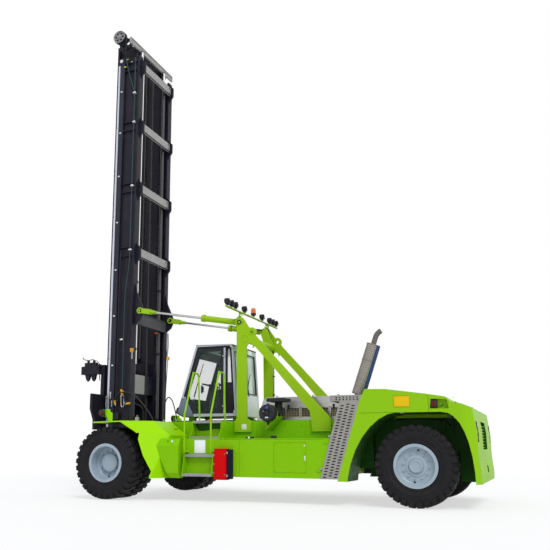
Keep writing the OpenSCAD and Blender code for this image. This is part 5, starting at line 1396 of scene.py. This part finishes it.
mastLook = {
    "face": 0.8,
    "strip": (0.766, 0.812, 0.95, 9.82),
    "band": (0.655, 0.765),
    "clips": (9.14, 8.11, 7.05, 5.95, 4.85, 3.81, 2.72, 1.7),
    "clamps": ((0.36, 9.05), (0.35, 8.322), (0.35, 6.78), (0.35, 5.28), (0.497, 3.275)),
    "beams": (9.64, 8.14, 6.64, 5.14),
    "beamFace": 0.213,
    "drum": (0.69, 0.952, 10.44),
    "drumFace": 1.0155,
    "barrel": (0.342, 0.53),
    "arm": 0.8,
    "hose": 0.812,
    "foot": 0.838,
    "coupling": [(0.014, 0), (0.021, 0.004), (0.022, 0.03), (0.017, 0.036), (0.017, 0.046), (0.021, 0.05),
                 (0.02, 0.074),
                 (0.01, 0.08)],
    "pinHead": [(0.001, 0.026), (0.034, 0.024), (0.04, 0.016), (0.04, -0.004)],
}


def makeRails():
    both = [Shape() for _ in range(7)]
    strip, band, clips, yellow, welds, bolts, pins = both
    x0, x1, low, high = mastLook["strip"]
    y, beam = mastLook["face"], mastLook["beamFace"]
    strip.box((x0, y - 0.002, low), (x1, y + 0.004, high), 0.001)
    band.box((mastLook["band"][0], y - 0.002, low + 0.1), (mastLook["band"][1], y + 0.0015, high), 0.001)
    for z in mastLook["clips"]:
        clips.box((0.685, y, z - 0.014), (0.727, y + 0.016, z + 0.014), 0.004)
        bolts.bolts([(0.64, y + 0.001, z - 0.2), (0.812, y + 0.001, z + 0.15)], alongY, 0.014)
    clips.lathe([(0.001, 0.02), (0.03, 0.02), (0.04, 0.014), (0.042, -0.01)], (0.735, y, 9.93), alongY, 28)
    clips.lathe([(0.001, 0.018), (0.015, 0.014), (0.018, -0.01)], (0.48, y - 0.045, 9.88), alongY, 16)
    for x, z in ((0.58, 9.94), (0.63, 9.76)):
        yellow.box((x - 0.03, y - 0.01, z - 0.008), (x + 0.03, y + 0.018, z + 0.008), 0.003)
    for x, z in mastLook["clamps"]:
        clips.box((x - 0.032, y - 0.045, z - 0.012), (x + 0.032, y + 0.024, z + 0.012), 0.004)
        clips.box((x - 0.04, y + 0.01, z + 0.01), (x + 0.01, y + 0.022, z + 0.022), 0.003)
    for z in mastLook["beams"]:
        for weld in (z + 0.004, z + 0.211):
            welds.tube([(beam + 0.003, 0.05, weld), (beam + 0.003, 0.655, weld)], 0.005, 6)
        bolts.bolts([(beam - 0.001, 0.59, z + 0.05), (beam - 0.001, 0.59, z + 0.165)], (-1, 0, 0), 0.018)
    # edge of the rail's rear flange
    bolts.bolts([(0.252, y - 0.05, 1.1 + k * 0.74) for k in range(12)], (-1, 0, 0), 0.012)
    pins.lathe([(0.001, 0.01), (0.02, 0.01), (0.027, 0.006), (0.028, -0.002)], (0.1, 0.75, 3.9), alongY, 24)
    pins.box((0.085, 0.75, 3.84), (0.115, 0.756, 3.868), 0.002)
    mirror(*both)
    for z in mastLook["beams"]:
        welds.box((beam - 0.0015, -0.655, z), (beam + 0.002, 0.655, z + 0.028))
    for z in (3.62, 3.86):
        welds.tube([(0.212, -0.62, z), (0.212, 0.62, z)], 0.006, 6)
    # painted highlight: thin silver line on the far rail's rear flange edge
    edges = Shape()
    edges.tube([(0.2485, -0.792, 4.2), (0.2485, -0.792, 9.6)], 0.006, 6)
    strip.done("railStrips", stripSilver, "outer_mast")
    edges.done("railEdgeHighlight", stripSilver, "outer_mast")
    pins.done("tiltPinHeads", frameLime, "outer_mast")
    band.done("railBands", bandBlue, "outer_mast")
    clips.done("railClips", clipWhite, "outer_mast")
    yellow.done("railTags", clipYellow, "outer_mast")
    welds.done("mastWelds", mastBlack, "outer_mast")
    bolts.done("mastBolts", mastBlack, "outer_mast")


def makeMastHoses():
    teal, black, caps, red, steel = (Shape() for _ in range(5))
    y = mastLook["hose"]
    teal.tube([(0.6, y + 0.02, 9.985), (0.565, y, 9.8), (0.49, y - 0.01, 9.5), (0.41, y - 0.006, 9.24),
               (0.362, y, 9.06), (0.35, y, 8.9)], 0.01, 8, smooth=5)
    teal.tube([(0.35, y, 5.02), (0.37, y + 0.004, 4.8), (0.425, y + 0.01, 4.3), (0.435, y + 0.006, 3.6),
               (0.432, y + 0.008, 2.9), (0.43, y + 0.006, 2.5), (0.436, y, 2.19)], 0.009, 8, smooth=5)
    black.tube([(0.64, y, 9.96), (0.52, y - 0.03, 9.55), (0.42, y - 0.045, 8.8), (0.3, y - 0.01, 8.3)],
               0.007, 6, smooth=5)
    # thin lines down the rear edge below the tilt lug
    for shift in (0.0, 0.022):
        black.tube([(0.19 + shift, 0.74, 3.62), (0.195 + shift, 0.765, 3.327), (0.224 + shift, 0.785, 3.111),
                    (0.229 + shift, 0.79, 3.06)], 0.007, 6, smooth=4)
        caps.lathe(mastLook["coupling"], (0.205 + shift * 2.2, 0.806 - shift * 0.4, 3.07), (0, 0, -1), 16)
    steel.rod((0.225, 0.795, 3.0), (0.225, 0.792, 2.84), 0.013, 12, 0.003)
    black.tube([(0.225, 0.792, 2.845), (0.24, 0.79, 2.6), (0.262, 0.8, 2.2), (0.27, 0.8, 1.5)], 0.008, 6,
               smooth=5)
    mirror(teal, black, caps, steel)
    # couplings, valves and a coil spring at the foot of the left rail
    y = mastLook["foot"]
    for x, z, way in ((0.436, 2.145, (0.2, 0, 1)), (0.405, 2.12, (-0.3, 0, 1)), (0.593, 1.926, (0.25, 0, 1)),
                      (0.251, 1.889, (-1, 0, 0.1))):
        spot = Vector((x, y - 0.003, z))
        caps.lathe([(0.016, -0.045), (0.024, -0.04), (0.025, -0.006), (0.018, 0), (0.018, 0.012),
                    (0.024, 0.016), (0.023, 0.04), (0.012, 0.046)], spot, way, 18)
        steel.lathe([(0.013, 0), (0.013, 0.03)], spot - Vector(way).normalized() * 0.075, way, 6)
    steel.tube([(0.44, y, 2.08), (0.432, y, 1.86), (0.4, y, 1.822), (0.365, y, 1.85), (0.36, 0.83, 1.93)],
               0.011, 10, smooth=4)
    steel.tube([(0.38, 0.832, 2.07), (0.376, 0.832, 1.9)], 0.008, 8)
    steel.box((0.69, 0.8, 2.0), (0.725, 0.845, 2.15), 0.006)
    steel.box((0.66, 0.8, 1.83), (0.69, 0.835, 1.96), 0.006)
    steel.tube([(0.8 + a, 0.85 + b, 1.82 + n * 0.0022) for n, (a, b) in enumerate(circle(8, 0.02) * 10)],
               0.004, 6)
    steel.rod((0.8, 0.85, 1.78), (0.8, 0.85, 2.06), 0.007, 10)
    for z in (1.772, 2.02):
        steel.box((0.78, 0.798, z), (0.82, 0.87, z + 0.012), 0.003)
    # hydraulic block between the barrels and the rail
    black.tube([(0.44, 0.826, 2.06), (0.52, y, 1.96), (0.585, y, 1.9)], 0.01, 8, smooth=4)
    black.tube([(0.251, 0.835, 1.889), (0.33, y, 1.96), (0.4, y, 2.06)], 0.01, 8, smooth=4)
    black.box((0.5, 0.796, 1.56), (0.62, 0.828, 1.7), 0.008)
    for spot in ((0.29, -0.34, 3.59), (0.285, -0.29, 3.586)):
        red.lathe([(0.014, 0), (0.022, 0.004), (0.022, 0.034), (0.014, 0.042)], spot, (0, 0, -1), 16)
    caps.lathe([(0.012, 0), (0.02, 0.004), (0.02, 0.03), (0.01, 0.036)], (0.29, -0.39, 3.592), (0, 0, -1),
               16)
    for x, y in ((0.347, -0.8), (0.471, -0.7)):
        caps.lathe(mastLook["coupling"], (x, y, 3.085), (0, 0, -1), 16)
    teal.done("mastLines", hoseTeal, "outer_mast")
    black.done("mastThinHoses", hoseBlack, "outer_mast")
    caps.done("mastCouplings", capYellow, "outer_mast")
    red.done("mastRedCaps", capRed, "outer_mast")
    steel.done("mastFittings", zinc, "outer_mast")


footLook = {
    "footHose": (0.014, [(0.593, 0.858, 1.965), (0.5, 0.862, 2.1), (0.363, 0.862, 2.13),
                         (0.134, 0.845, 2.083),
                         (-0.085, 0.815, 1.874), (-0.292, 0.795, 1.608), (-0.335, 0.79, 1.47),
                         (-0.34, 0.78, 1.4),
                         (-0.34, 0.738, 1.375)]),
    "footHoseThin": (0.009, [(0.205, 0.84, 1.895), (0.08, 0.83, 1.88), (-0.053, 0.81, 1.814),
                             (-0.09, 0.8, 1.696),
                             (-0.095, 0.79, 1.48), (-0.095, 0.738, 1.4)]),
    "loop": [(-0.315, 0.3, 1.5), (-0.316, 0.3, 1.6), (-0.335, 0.3, 1.9), (-0.406, 0.3, 2.035),
             (-0.5, 0.31, 1.98),
             (-0.56, 0.31, 1.84), (-0.62, 0.3, 1.6), (-0.627, 0.3, 1.5)],
}


def makeFootHoses():
    # hoses from the chassis to the tilting mast, and the loop beside them
    for name in ("footHose", "footHoseThin"):
        radius, run = footLook[name]
        shape = Shape()
        shape.tube(run, radius, 10, smooth=6)
        piece = shape.done(name, hoseBlack, None)
        fromFront(0.25, 0.85, 2.0)
        fromFront(-0.3, 0.79,
                1.5)
        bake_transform(piece)
    loops, ends = Shape(), Shape()
    loops.tube(footLook["loop"], 0.011, 10, smooth=6)
    for spot in (footLook["loop"][0], footLook["loop"][-1]):
        ends.lathe([(0.022, 0), (0.022, 0.012), (0.016, 0.016), (0.016, 0.05), (0.012, 0.06)], spot, alongZ,
                   12)
    for x, z in ((-0.34, 1.375), (-0.095, 1.4)):
        ends.lathe([(0.024, -0.003), (0.024, 0.01), (0.018, 0.014), (0.018, 0.034)], (x, 0.73, z), alongY,
                   12)
    ends.box((0, 0.8, 1.478), (0.07, 0.85, 1.6), 0.008)
    ends.rod((0.034, 0.825, 1.6), (0.034, 0.825, 1.64), 0.012, 12, 0.003)
    loops.done("hoseLoops", hoseBlack)
    ends.done("hoseEnds", zinc)


def makeMastTop():
    rings, bolts, black, caps, straps, pins = both = [Shape() for _ in range(6)]
    x, y, z = mastLook["drum"]
    face = mastLook["drumFace"]
    for k in range(4):
        rings.lathe([(0.15, -0.008), (0.158, -0.004), (0.158, 0.004), (0.15, 0.008)],
                    (x, y - 0.04 + k * 0.022, z), alongY, 40)
    bolts.bolts([(x + a, face, z + b) for a, b in circle(6, 0.118, 0.5)], alongY, 0.014)
    bolts.lathe([(0.001, 0.02), (0.028, 0.018), (0.034, 0.01), (0.034, -0.004)], (x, face, z), alongY, 24)
    bolts.lathe([(0.138, -0.002), (0.15, -0.002), (0.15, 0.006), (0.138, 0.006), (0.138, -0.002)],
                (x, face, z), alongY, 48)
    black.tube([(x - 0.145, 0.93, z - 0.02), (x - 0.14, 0.93, z - 0.2), (x - 0.1, 0.885, z - 0.38),
                (x - 0.085, 0.87, z - 0.42)], 0.012, 8, smooth=5)
    black.tube([(x + 0.02, 0.95, z - 0.15), (x - 0.04, 0.93, z - 0.26), (x - 0.06, 0.9, z - 0.4)], 0.01, 8,
               smooth=5)
    x, y = mastLook["barrel"]
    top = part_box("lift_barrels")[1].z
    caps.lathe([(0.036, -0.004), (0.056, -0.002), (0.056, 0.03), (0.05, 0.04), (0.036, 0.046)], (x, y, top),
               alongZ, 28)
    for z in (1.6, 3.1, 4.6):
        if z < top - 0.3:
            straps.lathe([(0.046, -0.03), (0.055, -0.026), (0.055, 0.026), (0.046, 0.03)], (x, y, z), alongZ,
                         28)
            straps.box((x - 0.01, y + 0.05, z - 0.028), (x + 0.01, y + 0.085, z + 0.028), 0.003)
    pins.lathe(mastLook["pinHead"], (0.62, 0.415, 10.17), alongY, 24)
    pins.lathe(mastLook["pinHead"], (0.62, 0.305, 10.17), (0, -1, 0), 24)
    for y in (0.345, 0.375):
        pins.rod((0.525, y, 1.5), (0.525, y, 1.38), 0.011, 12, 0.002)
        pins.bolt((0.525, y, 1.44), (0, 0, -1), 0.026)
    pins.bolts([(0.38, 0.2 + k * 0.19, 10.371) for k in range(5)], alongZ, 0.018)
    mirror(*both)
    rings.done("drumHoses", hoseBlack, "hose_sheave")
    bolts.done("drumBolts", drumGrey, "hose_sheave")
    black.done("drumTails", hoseBlack, "inner_mast")
    caps.done("liftGlands", chainSteel, "outer_mast")
    straps.done("liftStraps", mastBlack, "outer_mast")
    pins.done("chainAnchors", zinc, "inner_mast")


def makeCarriage():
    rollers, bolts, arms, levers = (Shape() for _ in range(4))
    for side in (1, -1):
        for spot in spots("carriage", [(0.72, side * 1.5, 1.65), (0.72, side * 1.5, 2.7)], (0, -side, 0)):
            rollers.lathe([(0.001, 0.014), (0.045, 0.014), (0.052, 0.008), (0.052, -0.004)], spot,
                          (0, side, 0), 28)
        starts = [(1.6, side * y, z) for y in (0.25, 0.55, 0.85, 1.12) for z in (1.44, 2.02)]
        bolts.bolts(spots("carriage", starts, (-1, 0, 0)), alongX, 0.026)
        starts = [(1.6, side * y, 2.6) for y in (0.35, 0.62, 1.0)]
        bolts.bolts(spots("carriage", starts, (-1, 0, 0)), alongX, 0.022)
        bolts.bolts([(1.12, side * 0.86, 2.58), (1.38, side * 0.86, 2.58)], (0, side, 0), 0.02)
    # arm heads with their hooks, pins and indicator levers
    y = mastLook["arm"]
    for x in (1.1, 1.23, 1.36):
        arms.lathe([(0.001, 0.012), (0.02, 0.012), (0.024, 0.006), (0.024, -0.002)], (x, y + 0.06, 2.665),
                   alongY, 18)
    arms.box((1.0, y - 0.058, 2.7115), (1.46, y + 0.058, 2.72), 0.003)
    for x in (1.18, 1.33):
        arms.lathe([(0.024, 0), (0.03, 0.01), (0.03, 0.05), (0.018, 0.058)], (x, y, 2.8), alongZ, 18)
    levers.tube([(1.18, y, 2.858), (1.23, y, 2.872), (1.33, y, 2.858), (1.44, y + 0.02, 2.88),
                 (1.462, y + 0.02, 2.93)], 0.008, 8, smooth=4)
    levers.tube([(1.18, y, 2.85), (1.12, y - 0.01, 2.835), (1.06, y - 0.02, 2.78), (1.04, y - 0.02, 2.715)],
                0.007, 8, smooth=4)
    levers.box((1.01, y - 0.04, 2.716), (1.075, y + 0.045, 2.762), 0.008)
    levers.tube([(1.15, 0.862, 2.64), (1.06, 0.868, 2.62), (1.0, 0.86, 2.56), (0.985, 0.85, 2.4)], 0.009, 8,
                smooth=5)
    mirror(arms, levers)
    rollers.done("carriageRollers", zinc, "carriage")
    bolts.done("carriageBolts", mastBlack, "carriage")
    arms.done("armFittings", axleBlack, "carriage")
    levers.done("armLevers", hoseBlack, "carriage")


makeRails()
makeMastHoses()
makeFootHoses()
makeMastTop()
makeCarriage()
print("mast ready")


frameLook = {
    "face": 0.77,
    "pin": (-2.27, 3.476),
    "eye": (-2.538, 3.255),
    "tie": (-2.4, 3.13),
    "rodEye": (0.1, 3.9),
    "cylinder": 0.69,
    "barrelLength": 0.885,
    "feet": ((-2.166, -2.528), (-3.756, -4.128)),
    "cable": [(-2.33, 3.66), (-2.345, 3.5), (-2.4, 3.33), (-2.455, 3.05), (-2.462, 2.7), (-2.462, 2.2),
              (-2.462, 1.7),
              (-2.462, 1.51)],
}


def makeFrames():
    dark, welds, bolts, cable, clamps, label = (Shape() for _ in range(6))
    y = frameLook["face"]
    px, pz = frameLook["pin"]
    dark.lathe([(0.028, -0.002), (0.046, -0.002), (0.048, 0.004), (0.042, 0.01), (0.03, 0.01),
                (0.028, -0.002)], (px, y + 0.015, pz), alongY, 32)
    welds.box((px - 0.075, y, pz - 0.018), (px - 0.04, y + 0.008, pz + 0.018), 0.002)
    bolts.bolt((px - 0.062, y + 0.008, pz), alongY, 0.014)
    x, z = frameLook["eye"]
    welds.lathe([(0.036, -0.004), (0.052, -0.004), (0.052, 0.004), (0.036, 0.004), (0.036, -0.004)],
                (x, y + 0.001, z), alongY, 32)
    x, z = frameLook["tie"]
    welds.lathe([(0.066, -0.002), (0.084, -0.002), (0.078, 0.005), (0.066, 0.005), (0.066, -0.002)],
                (x, y, z), alongY, 36)
    for x0, x1 in frameLook["feet"]:
        welds.tube([(x0, y + 0.002, 1.287), (x1, y + 0.002, 1.287)], 0.006, 6)
        for x in (x0 - 0.002, x1 + 0.002):
            welds.tube([(x, y + 0.002, 1.29), (x, y + 0.002, 1.48)], 0.005, 6)
        bolts.bolts([(x0 - 0.04, y, 1.325), (x1 + 0.04, y, 1.325)], alongY, 0.018)
    mirror(dark, welds, bolts)
    shifts = [0, 0.005, 0.005] + [0] * 5
    cable.tube([(x, -0.7 - shift, z) for (x, z), shift in zip(frameLook["cable"], shifts)], 0.011, 8,
               smooth=5)
    for z in (2.9, 2.5, 2.1, 1.75):
        clamps.box((-2.482, -0.73, z - 0.012), (-2.44, -0.686, z + 0.012), 0.004)
    label.box((-2.42, y - 0.0005, 1.33), (-2.32, y + 0.0015, 1.43), 0.001)
    label.done("frameLabel", clipWhite)
    dark.done("framePinRings", blackPlastic)
    welds.done("frameWelds", frameLime)
    bolts.done("frameBolts", frameLime)
    cable.done("frameCables", hoseBlack)
    clamps.done("frameClamps", blackPlastic)


def makeTiltCylinders():
    (px, pz), (ex, ez) = frameLook["pin"], frameLook["rodEye"]
    y, far = frameLook["cylinder"], frameLook["barrelLength"]
    for side, hand in ((1, "left"), (-1, "right")):
        start, end = Vector((px, side * y, pz)), Vector((ex, side * y, ez))
        way = (end - start).normalized()
        up = (Vector((-way.z, 0, way.x)) * 0.3 - Vector((0, side, 0))).normalized()
        across = way.cross(up)

        def at(along, out):
            return start + way * along + up * out

        collar, hose, steel, boot = (Shape() for _ in range(4))
        collar.lathe([(0.06, -0.05), (0.07, -0.046), (0.07, -0.006), (0.064, 0), (0.04, 0.004),
                      (0.034, 0.012), (0.026, 0.012)], at(far, 0), way, 32)
        collar.lathe([(0.06, 0), (0.066, 0.003), (0.066, 0.022), (0.06, 0.026)], at(0.13, 0), way, 32)
        for along in (0.16, far - 0.085):
            collar.rod(at(along, 0.055), at(along, 0.09), 0.02, 16, 0.003)
            steel.lathe([(0.017, 0), (0.017, 0.016)], at(along, 0.09), up, 6)
        run = [(far - 0.085, 0.105), (far - 0.1, 0.13), (far - 0.2, 0.12), (0.45, 0.088), (0.2, 0.1),
               (0.05, 0.105)]
        hose.tube([at(*spot) for spot in run], 0.01, 8, smooth=5)
        run = [(0.16, 0.105), (0.145, 0.124), (0.08, 0.125), (0.03, 0.11)]
        hose.tube([at(*spot) for spot in run], 0.01, 8, smooth=4)
        for a, b in circle(8, 0.054):
            steel.bolt(at(far - 0.001, a) + across * b, way, 0.009, False)
        boot.lathe([(0.026, 0), (0.033, 0.004), (0.033, 0.03), (0.026, 0.036)], end - way * 0.42, way, 24)
        boot.lathe([(0.02, 0), (0.024, 0.002), (0.024, 0.012), (0.02, 0.014)], end + way * 0.012
                   + up * 0.045, up, 10)
        collar.done(f"{hand}TiltCollars", frameLime, f"{hand}_tilt_barrel")
        hose.done(f"{hand}TiltHoses", hoseBlack, f"{hand}_tilt_barrel")
        steel.done(f"{hand}TiltPorts", zinc, f"{hand}_tilt_barrel")
        boot.done(f"{hand}RodClamps", frameLime, f"{hand}_tilt_rod")


engineLook = {
    "cylinders": 6,
    "firstCylinder": -3.3,
    "pitch": 0.225,
    "filters": 4,
    "pulleys": ((0, 0.95, 0.13), (0.23, 1.3, 0.075), (-0.23, 1.28, 0.07), (0, 1.42, 0.08)),
    "beltEnd": [(0.29, 1.32), (0.24, 1.37), (0.04, 1.5), (-0.04, 1.5), (-0.29, 1.33)],
}


def makeEngine():
    iron, pipes, silver, yellow, belts = (Shape() for _ in range(5))
    for k in range(engineLook["cylinders"]):
        x = engineLook["firstCylinder"] - k * engineLook["pitch"]
        iron.box((x - 0.095, -0.2, 1.828), (x + 0.095, 0.2, 1.868), 0.012)
        silver.bolt((x, 0.15, 1.868), alongZ, 0.016)
        pipes.tube([(x, 0.325, 1.7), (x, 0.4, 1.7), (x - 0.06, 0.452, 1.66), (x - 0.06, 0.452, 1.56)], 0.03,
                   12, smooth=4)
        silver.tube([(x + 0.06, 0.33, 1.62), (x + 0.05, 0.36, 1.6), (x + 0.02, 0.4, 1.52)], 0.006, 6,
                    smooth=3)
    pipes.tube([(-3.25, 0.455, 1.545), (-3.9, 0.458, 1.545), (-4.55, 0.455, 1.545)], 0.042, 14, smooth=4)
    for k in range(engineLook["filters"]):
        x = -3.4 - k * 0.16
        silver.lathe([(0.058, 0), (0.06, 0.004), (0.06, 0.17), (0.052, 0.19), (0.03, 0.2)], (x, 0.495, 1.3),
                     (0, 0, -1), 20)
        yellow.lathe([(0.03, 0), (0.03, 0.01)], (x, 0.495, 1.302), alongZ, 6)
    silver.bolts([(x, 0.27, 0.7) for x in (-4.4, -4.1, -3.8, -3.5, -3.28)], (0, 0, -1), 0.014)
    mirror(pipes, silver, yellow)
    # belt drive at the front and the flywheel ring behind
    for y, z, r in engineLook["pulleys"]:
        belts.lathe([(0.02, 0), (r - 0.012, 0.004), (r, 0), (r, 0.008), (r - 0.01, 0.014), (r - 0.01, 0.02),
                     (r, 0.026), (r, 0.034), (r - 0.014, 0.034), (0.024, 0.03)], (-3.0, y, z), alongX, 32)
    y, z, r = engineLook["pulleys"][0]
    ring = [(y + (r - 0.005) * math.cos(a), z + (r - 0.005) * math.sin(a))
            for a in (math.radians(200 + 14 * n) for n in range(11))]
    belts.tube([(-2.982, y, z) for y, z in ring + engineLook["beltEnd"]], 0.008, 8, True)
    silver.bolts([(-3.02, a * 0.324, 1.09 + b * 0.33) for a, b in circle(14)], alongX, 0.014)
    iron.box((-4.5, -0.3, 0.64), (-3.2, 0.3, 0.702), 0.02)
    pipes.tube([(-3.08, 0.56, 1.66), (-3.12, 0.5, 1.72), (-3.2, 0.42, 1.76), (-3.32, 0.34, 1.76)], 0.05, 14,
               smooth=5)
    iron.done("engineCovers", castIron)
    pipes.done("enginePipes", scaleSteel)
    silver.done("engineSteel", zinc)
    yellow.done("engineCaps", capYellow)
    belts.done("engineBelts", rubberTrim)


axleLook = {
    "brakeLine": [(-0.15, 0.2, 0.12), (-0.18, 0.42, 0.15), (-0.17, 0.64, 0.13), (-0.12, 0.76, 0.08)],
    "feedLine": [(-0.18, 0.23, 0.1), (-0.21, 0.3, 0.3), (-0.26, 0.3, 0.52), (-0.3, 0.3, 0.74)],
    "steerLine": [(0.16, 0.1, 0.1), (0.26, 0.16, 0.16), (0.24, 0.22, 0.34), (0.12, 0.26, 0.46)],
}


def makeAxles():
    # lines count from the middle of their axle
    steel, black, hoses = (Shape() for _ in range(3))
    rear = rearX - frontX
    for side in (1, -1):
        starts = [(a, side * 0.3, axleZ + b) for a, b in circle(12, 0.175)]
        steel.bolts(spots("front_axle", starts, (0, side, 0)), (0, -side, 0), 0.022)
    starts = [(-1.2, a, axleZ + b) for a, b in circle(14, 0.2)]
    found = spots("front_axle", starts, alongX)
    steel.bolts([spot for spot in found if spot.x > -0.6], (-1, 0, 0), 0.018)
    for line, start in (("brakeLine", 0), ("feedLine", 0), ("steerLine", rear)):
        hoses.tube([(start + x, y, axleZ + z) for x, y, z in axleLook[line]], 0.01, 8, smooth=5)
    black.box((-0.215, 0.3, axleZ + 0.25), (-0.165, 0.345, axleZ + 0.29), 0.006)
    mirror(hoses, black)
    for side, hand in ((1, "left"), (-1, "right")):
        for top in spots(f"{hand}_knuckle", [(rear, side * 1.05, 2.0)], (0, 0, -1)):
            knuckle = Shape()
            knuckle.lathe([(0.001, 0.014), (0.038, 0.014), (0.044, 0.008), (0.044, -0.002)], top, alongZ, 24)
            for a, b in circle(4, 0.03, 0.5):
                knuckle.bolt(top + Vector((a, b, 0.013)), alongZ, 0.01, False)
            knuckle.done(f"{hand}KnuckleCap", axleBlack, f"{hand}_knuckle")
    steel.done("axleBolts", axleBlack)
    black.done("axleBrackets", blackPlastic)
    hoses.done("axleHoses", hoseBlack)


def makeHood():
    hinges, latch, vents = (Shape() for _ in range(3))

    def above(*places):
        return spots("hood", [(x, y, 3.0) for x, y in places], (0, 0, -1))

    for side in (1, -1):
        for spot in above((-5.1, side * 0.6), (-5.6, side * 0.6), (-6.05, side * 0.6)):
            latch.lathe([(0.022, -0.002), (0.022, 0.004), (0.016, 0.008), (0.006, 0.009)], spot, alongZ, 18)
        for spot in above((-5.4, side * 0.45)):
            grip = ((-0.08, -0.003), (-0.08, 0.035), (0.08, 0.035), (0.08, -0.003))
            latch.tube([spot + Vector((x, 0, z)) for x, z in grip], 0.008, 8, smooth=3)
    for x, _, z in above(*((-5.3 - k * 0.045, 0) for k in range(12))):
        vents.box((x - 0.012, -0.24, z - 0.001), (x + 0.012, 0.24, z + 0.004), 0.002)
    for x, y, z in above(*((-6.22, y) for y in (-0.55, 0, 0.55))):
        hinges.rod((x, y - 0.06, z + 0.004), (x, y + 0.06, z + 0.004), 0.012, 12, 0.002)
    latch.done("hoodLatches", blackPlastic, "hood")
    vents.done("hoodVents", rubberTrim, "hood")
    hinges.done("hoodHinges", lime, "hood")


def makeChassis():
    welds, steel, black = (Shape() for _ in range(3))
    for side in (1, -1):
        starts = [(x, side * 2, 1.4) for x in (-2.7, -3.55, -3.66, -3.2)]
        steel.bolts(spots("chassis", starts, (0, -side, 0)), (0, side, 0), 0.018)
        for spot in spots("front_fenders", [(x, side * 0.95, 2.0) for x in (-0.8, -1.2)], (0, 0, -1)):
            steel.bolts([spot, spot + Vector((0, side * 0.25, 0))], alongZ, 0.018)
        starts = [(x, side * 1.75, 2.0) for x in (-0.16, -0.46, 0.16)]
        steel.bolts(spots("front_fenders", starts, (0, 0, -1)), alongZ, 0.014)
    for x in (-1.62, -2.62, -3.62, -4.32):
        welds.tube([(x, 0.7315, 1.16), (x, 0.7315, 1.495)], 0.004, 6)
    black.tube([(-0.75, 0.7, 1.506), (-1.6, 0.7, 1.512), (-2.6, 0.69, 1.51)], 0.01, 8, smooth=4)
    mirror(welds, black)
    welds.done("chassisWelds", lime)
    steel.done("chassisBolts", lime)
    black.done("deckLines", hoseBlack)


makeFrames()
makeTiltCylinders()
makeEngine()
makeAxles()
makeHood()
makeChassis()
print("frames, engine and axles ready")


stageLook = {
    "world": 0.7,
    "sun": 1.85,
    "sunTurn": (math.radians(42), 0, math.radians(220)),
    "floor": (0.88, 0.88, 0.88),
    "fade": (8.0, 18.0),
    "plain": 0.62,
}


def makeStage():
    world = bpy.data.worlds.new("studio")
    bpy.context.scene.world = world
    world.use_nodes = True
    tree = world.node_tree
    back = tree.nodes["Background"]
    path = tree.nodes.new("ShaderNodeLightPath")
    white = tree.nodes.new("ShaderNodeBackground")
    white.inputs["Strength"].default_value = 1.0
    white.inputs["Color"].default_value = (1, 1, 1, 1)
    back.inputs["Color"].default_value = (0.93, 0.96, 1.0, 1)
    back.inputs["Strength"].default_value = stageLook["world"]
    mix = tree.nodes.new("ShaderNodeMixShader")
    seen = path.outputs["Is Camera Ray"]
    for other in ("Is Glossy Ray", "Is Transmission Ray"):
        either = tree.nodes.new("ShaderNodeMath")
        either.operation = "MAXIMUM"
        tree.links.new(seen, either.inputs[0])
        tree.links.new(path.outputs[other], either.inputs[1])
        seen = either.outputs[0]
    tree.links.new(seen, mix.inputs[0])
    tree.links.new(back.outputs[0], mix.inputs[1])
    tree.links.new(white.outputs[0], mix.inputs[2])
    tree.links.new(mix.outputs[0], tree.nodes["World Output"].inputs[0])
    sun = bpy.data.objects.new("sun", bpy.data.lights.new("sun", "SUN"))
    sun.data.energy = stageLook["sun"]
    sun.data.angle = math.radians(25)
    sun.rotation_euler = stageLook["sunTurn"]
    bpy.context.scene.collection.objects.link(sun)

    f = Finish("paleFloor")
    out = f.tree.nodes["Material Output"]
    grain = f.noise(2.0, 4.0)
    f.set(Base_Color=f.mix(grain, stageLook["floor"], tuple(c * 0.97 for c in stageLook["floor"])),
          Roughness=0.8)
    far = f.add("ShaderNodeVectorMath", {"operation": "LENGTH"}, [f.place])
    far = f.pick(far, "Value")
    ray = f.add("ShaderNodeLightPath", {}, [])
    seen = (f.pick(ray, "Is Camera Ray") + f.pick(ray, "Is Glossy Ray") + f.pick(ray,
            "Is Transmission Ray")).clamped()
    fade = f.step(far, *stageLook["fade"]).maths("MAXIMUM", stageLook["plain"]) * seen
    plain = f.add("ShaderNodeEmission", {}, {"Color": (1, 1, 1, 1), "Strength": 1.0})
    blend = f.add("ShaderNodeMixShader", {}, {0: fade, 1: Value(f, f.shader.outputs[0]), 2: plain})
    f.tree.links.new(blend.socket, out.inputs[0])
    bm = bmesh.new()
    bmesh.ops.create_grid(bm, x_segments=8, y_segments=8, size=60)
    mesh = bpy.data.meshes.new("floor")
    bm.to_mesh(mesh)
    floor = bpy.data.objects.new("floor", mesh)
    floor.data.materials.append(f.material)
    floor.location.z = cadBox[0][2] - 0.002
    bpy.context.scene.collection.objects.link(floor)


cameraLook = {
    "place": (-7.818, 13.853, 0.977),
    "forward": (0.397, -0.89764, 0.19137),
    "roll": 0.003,
    "lens": 46.58,
    "shift": (0.0843, 0.0617),
}


def makeCamera():
    camera = bpy.data.objects.new("camera", bpy.data.cameras.new("camera"))
    bpy.context.scene.collection.objects.link(camera)
    camera.data.lens = cameraLook["lens"]
    camera.data.sensor_width = 36
    camera.data.shift_x, camera.data.shift_y = cameraLook["shift"]
    camera.data.clip_end = 200
    turn = Vector(cameraLook["forward"]).to_track_quat("-Z", "Y")
    spin = Matrix.Rotation(cameraLook["roll"], 4, "Z")
    place = Matrix.Translation(fromFront(*cameraLook["place"]))
    camera.matrix_world = place @ turn.to_matrix().to_4x4() @ spin
    bpy.context.scene.camera = camera


makeStage()
makeCamera()
bpy.context.scene.view_settings.view_transform = "Standard"
print("stage and camera ready")
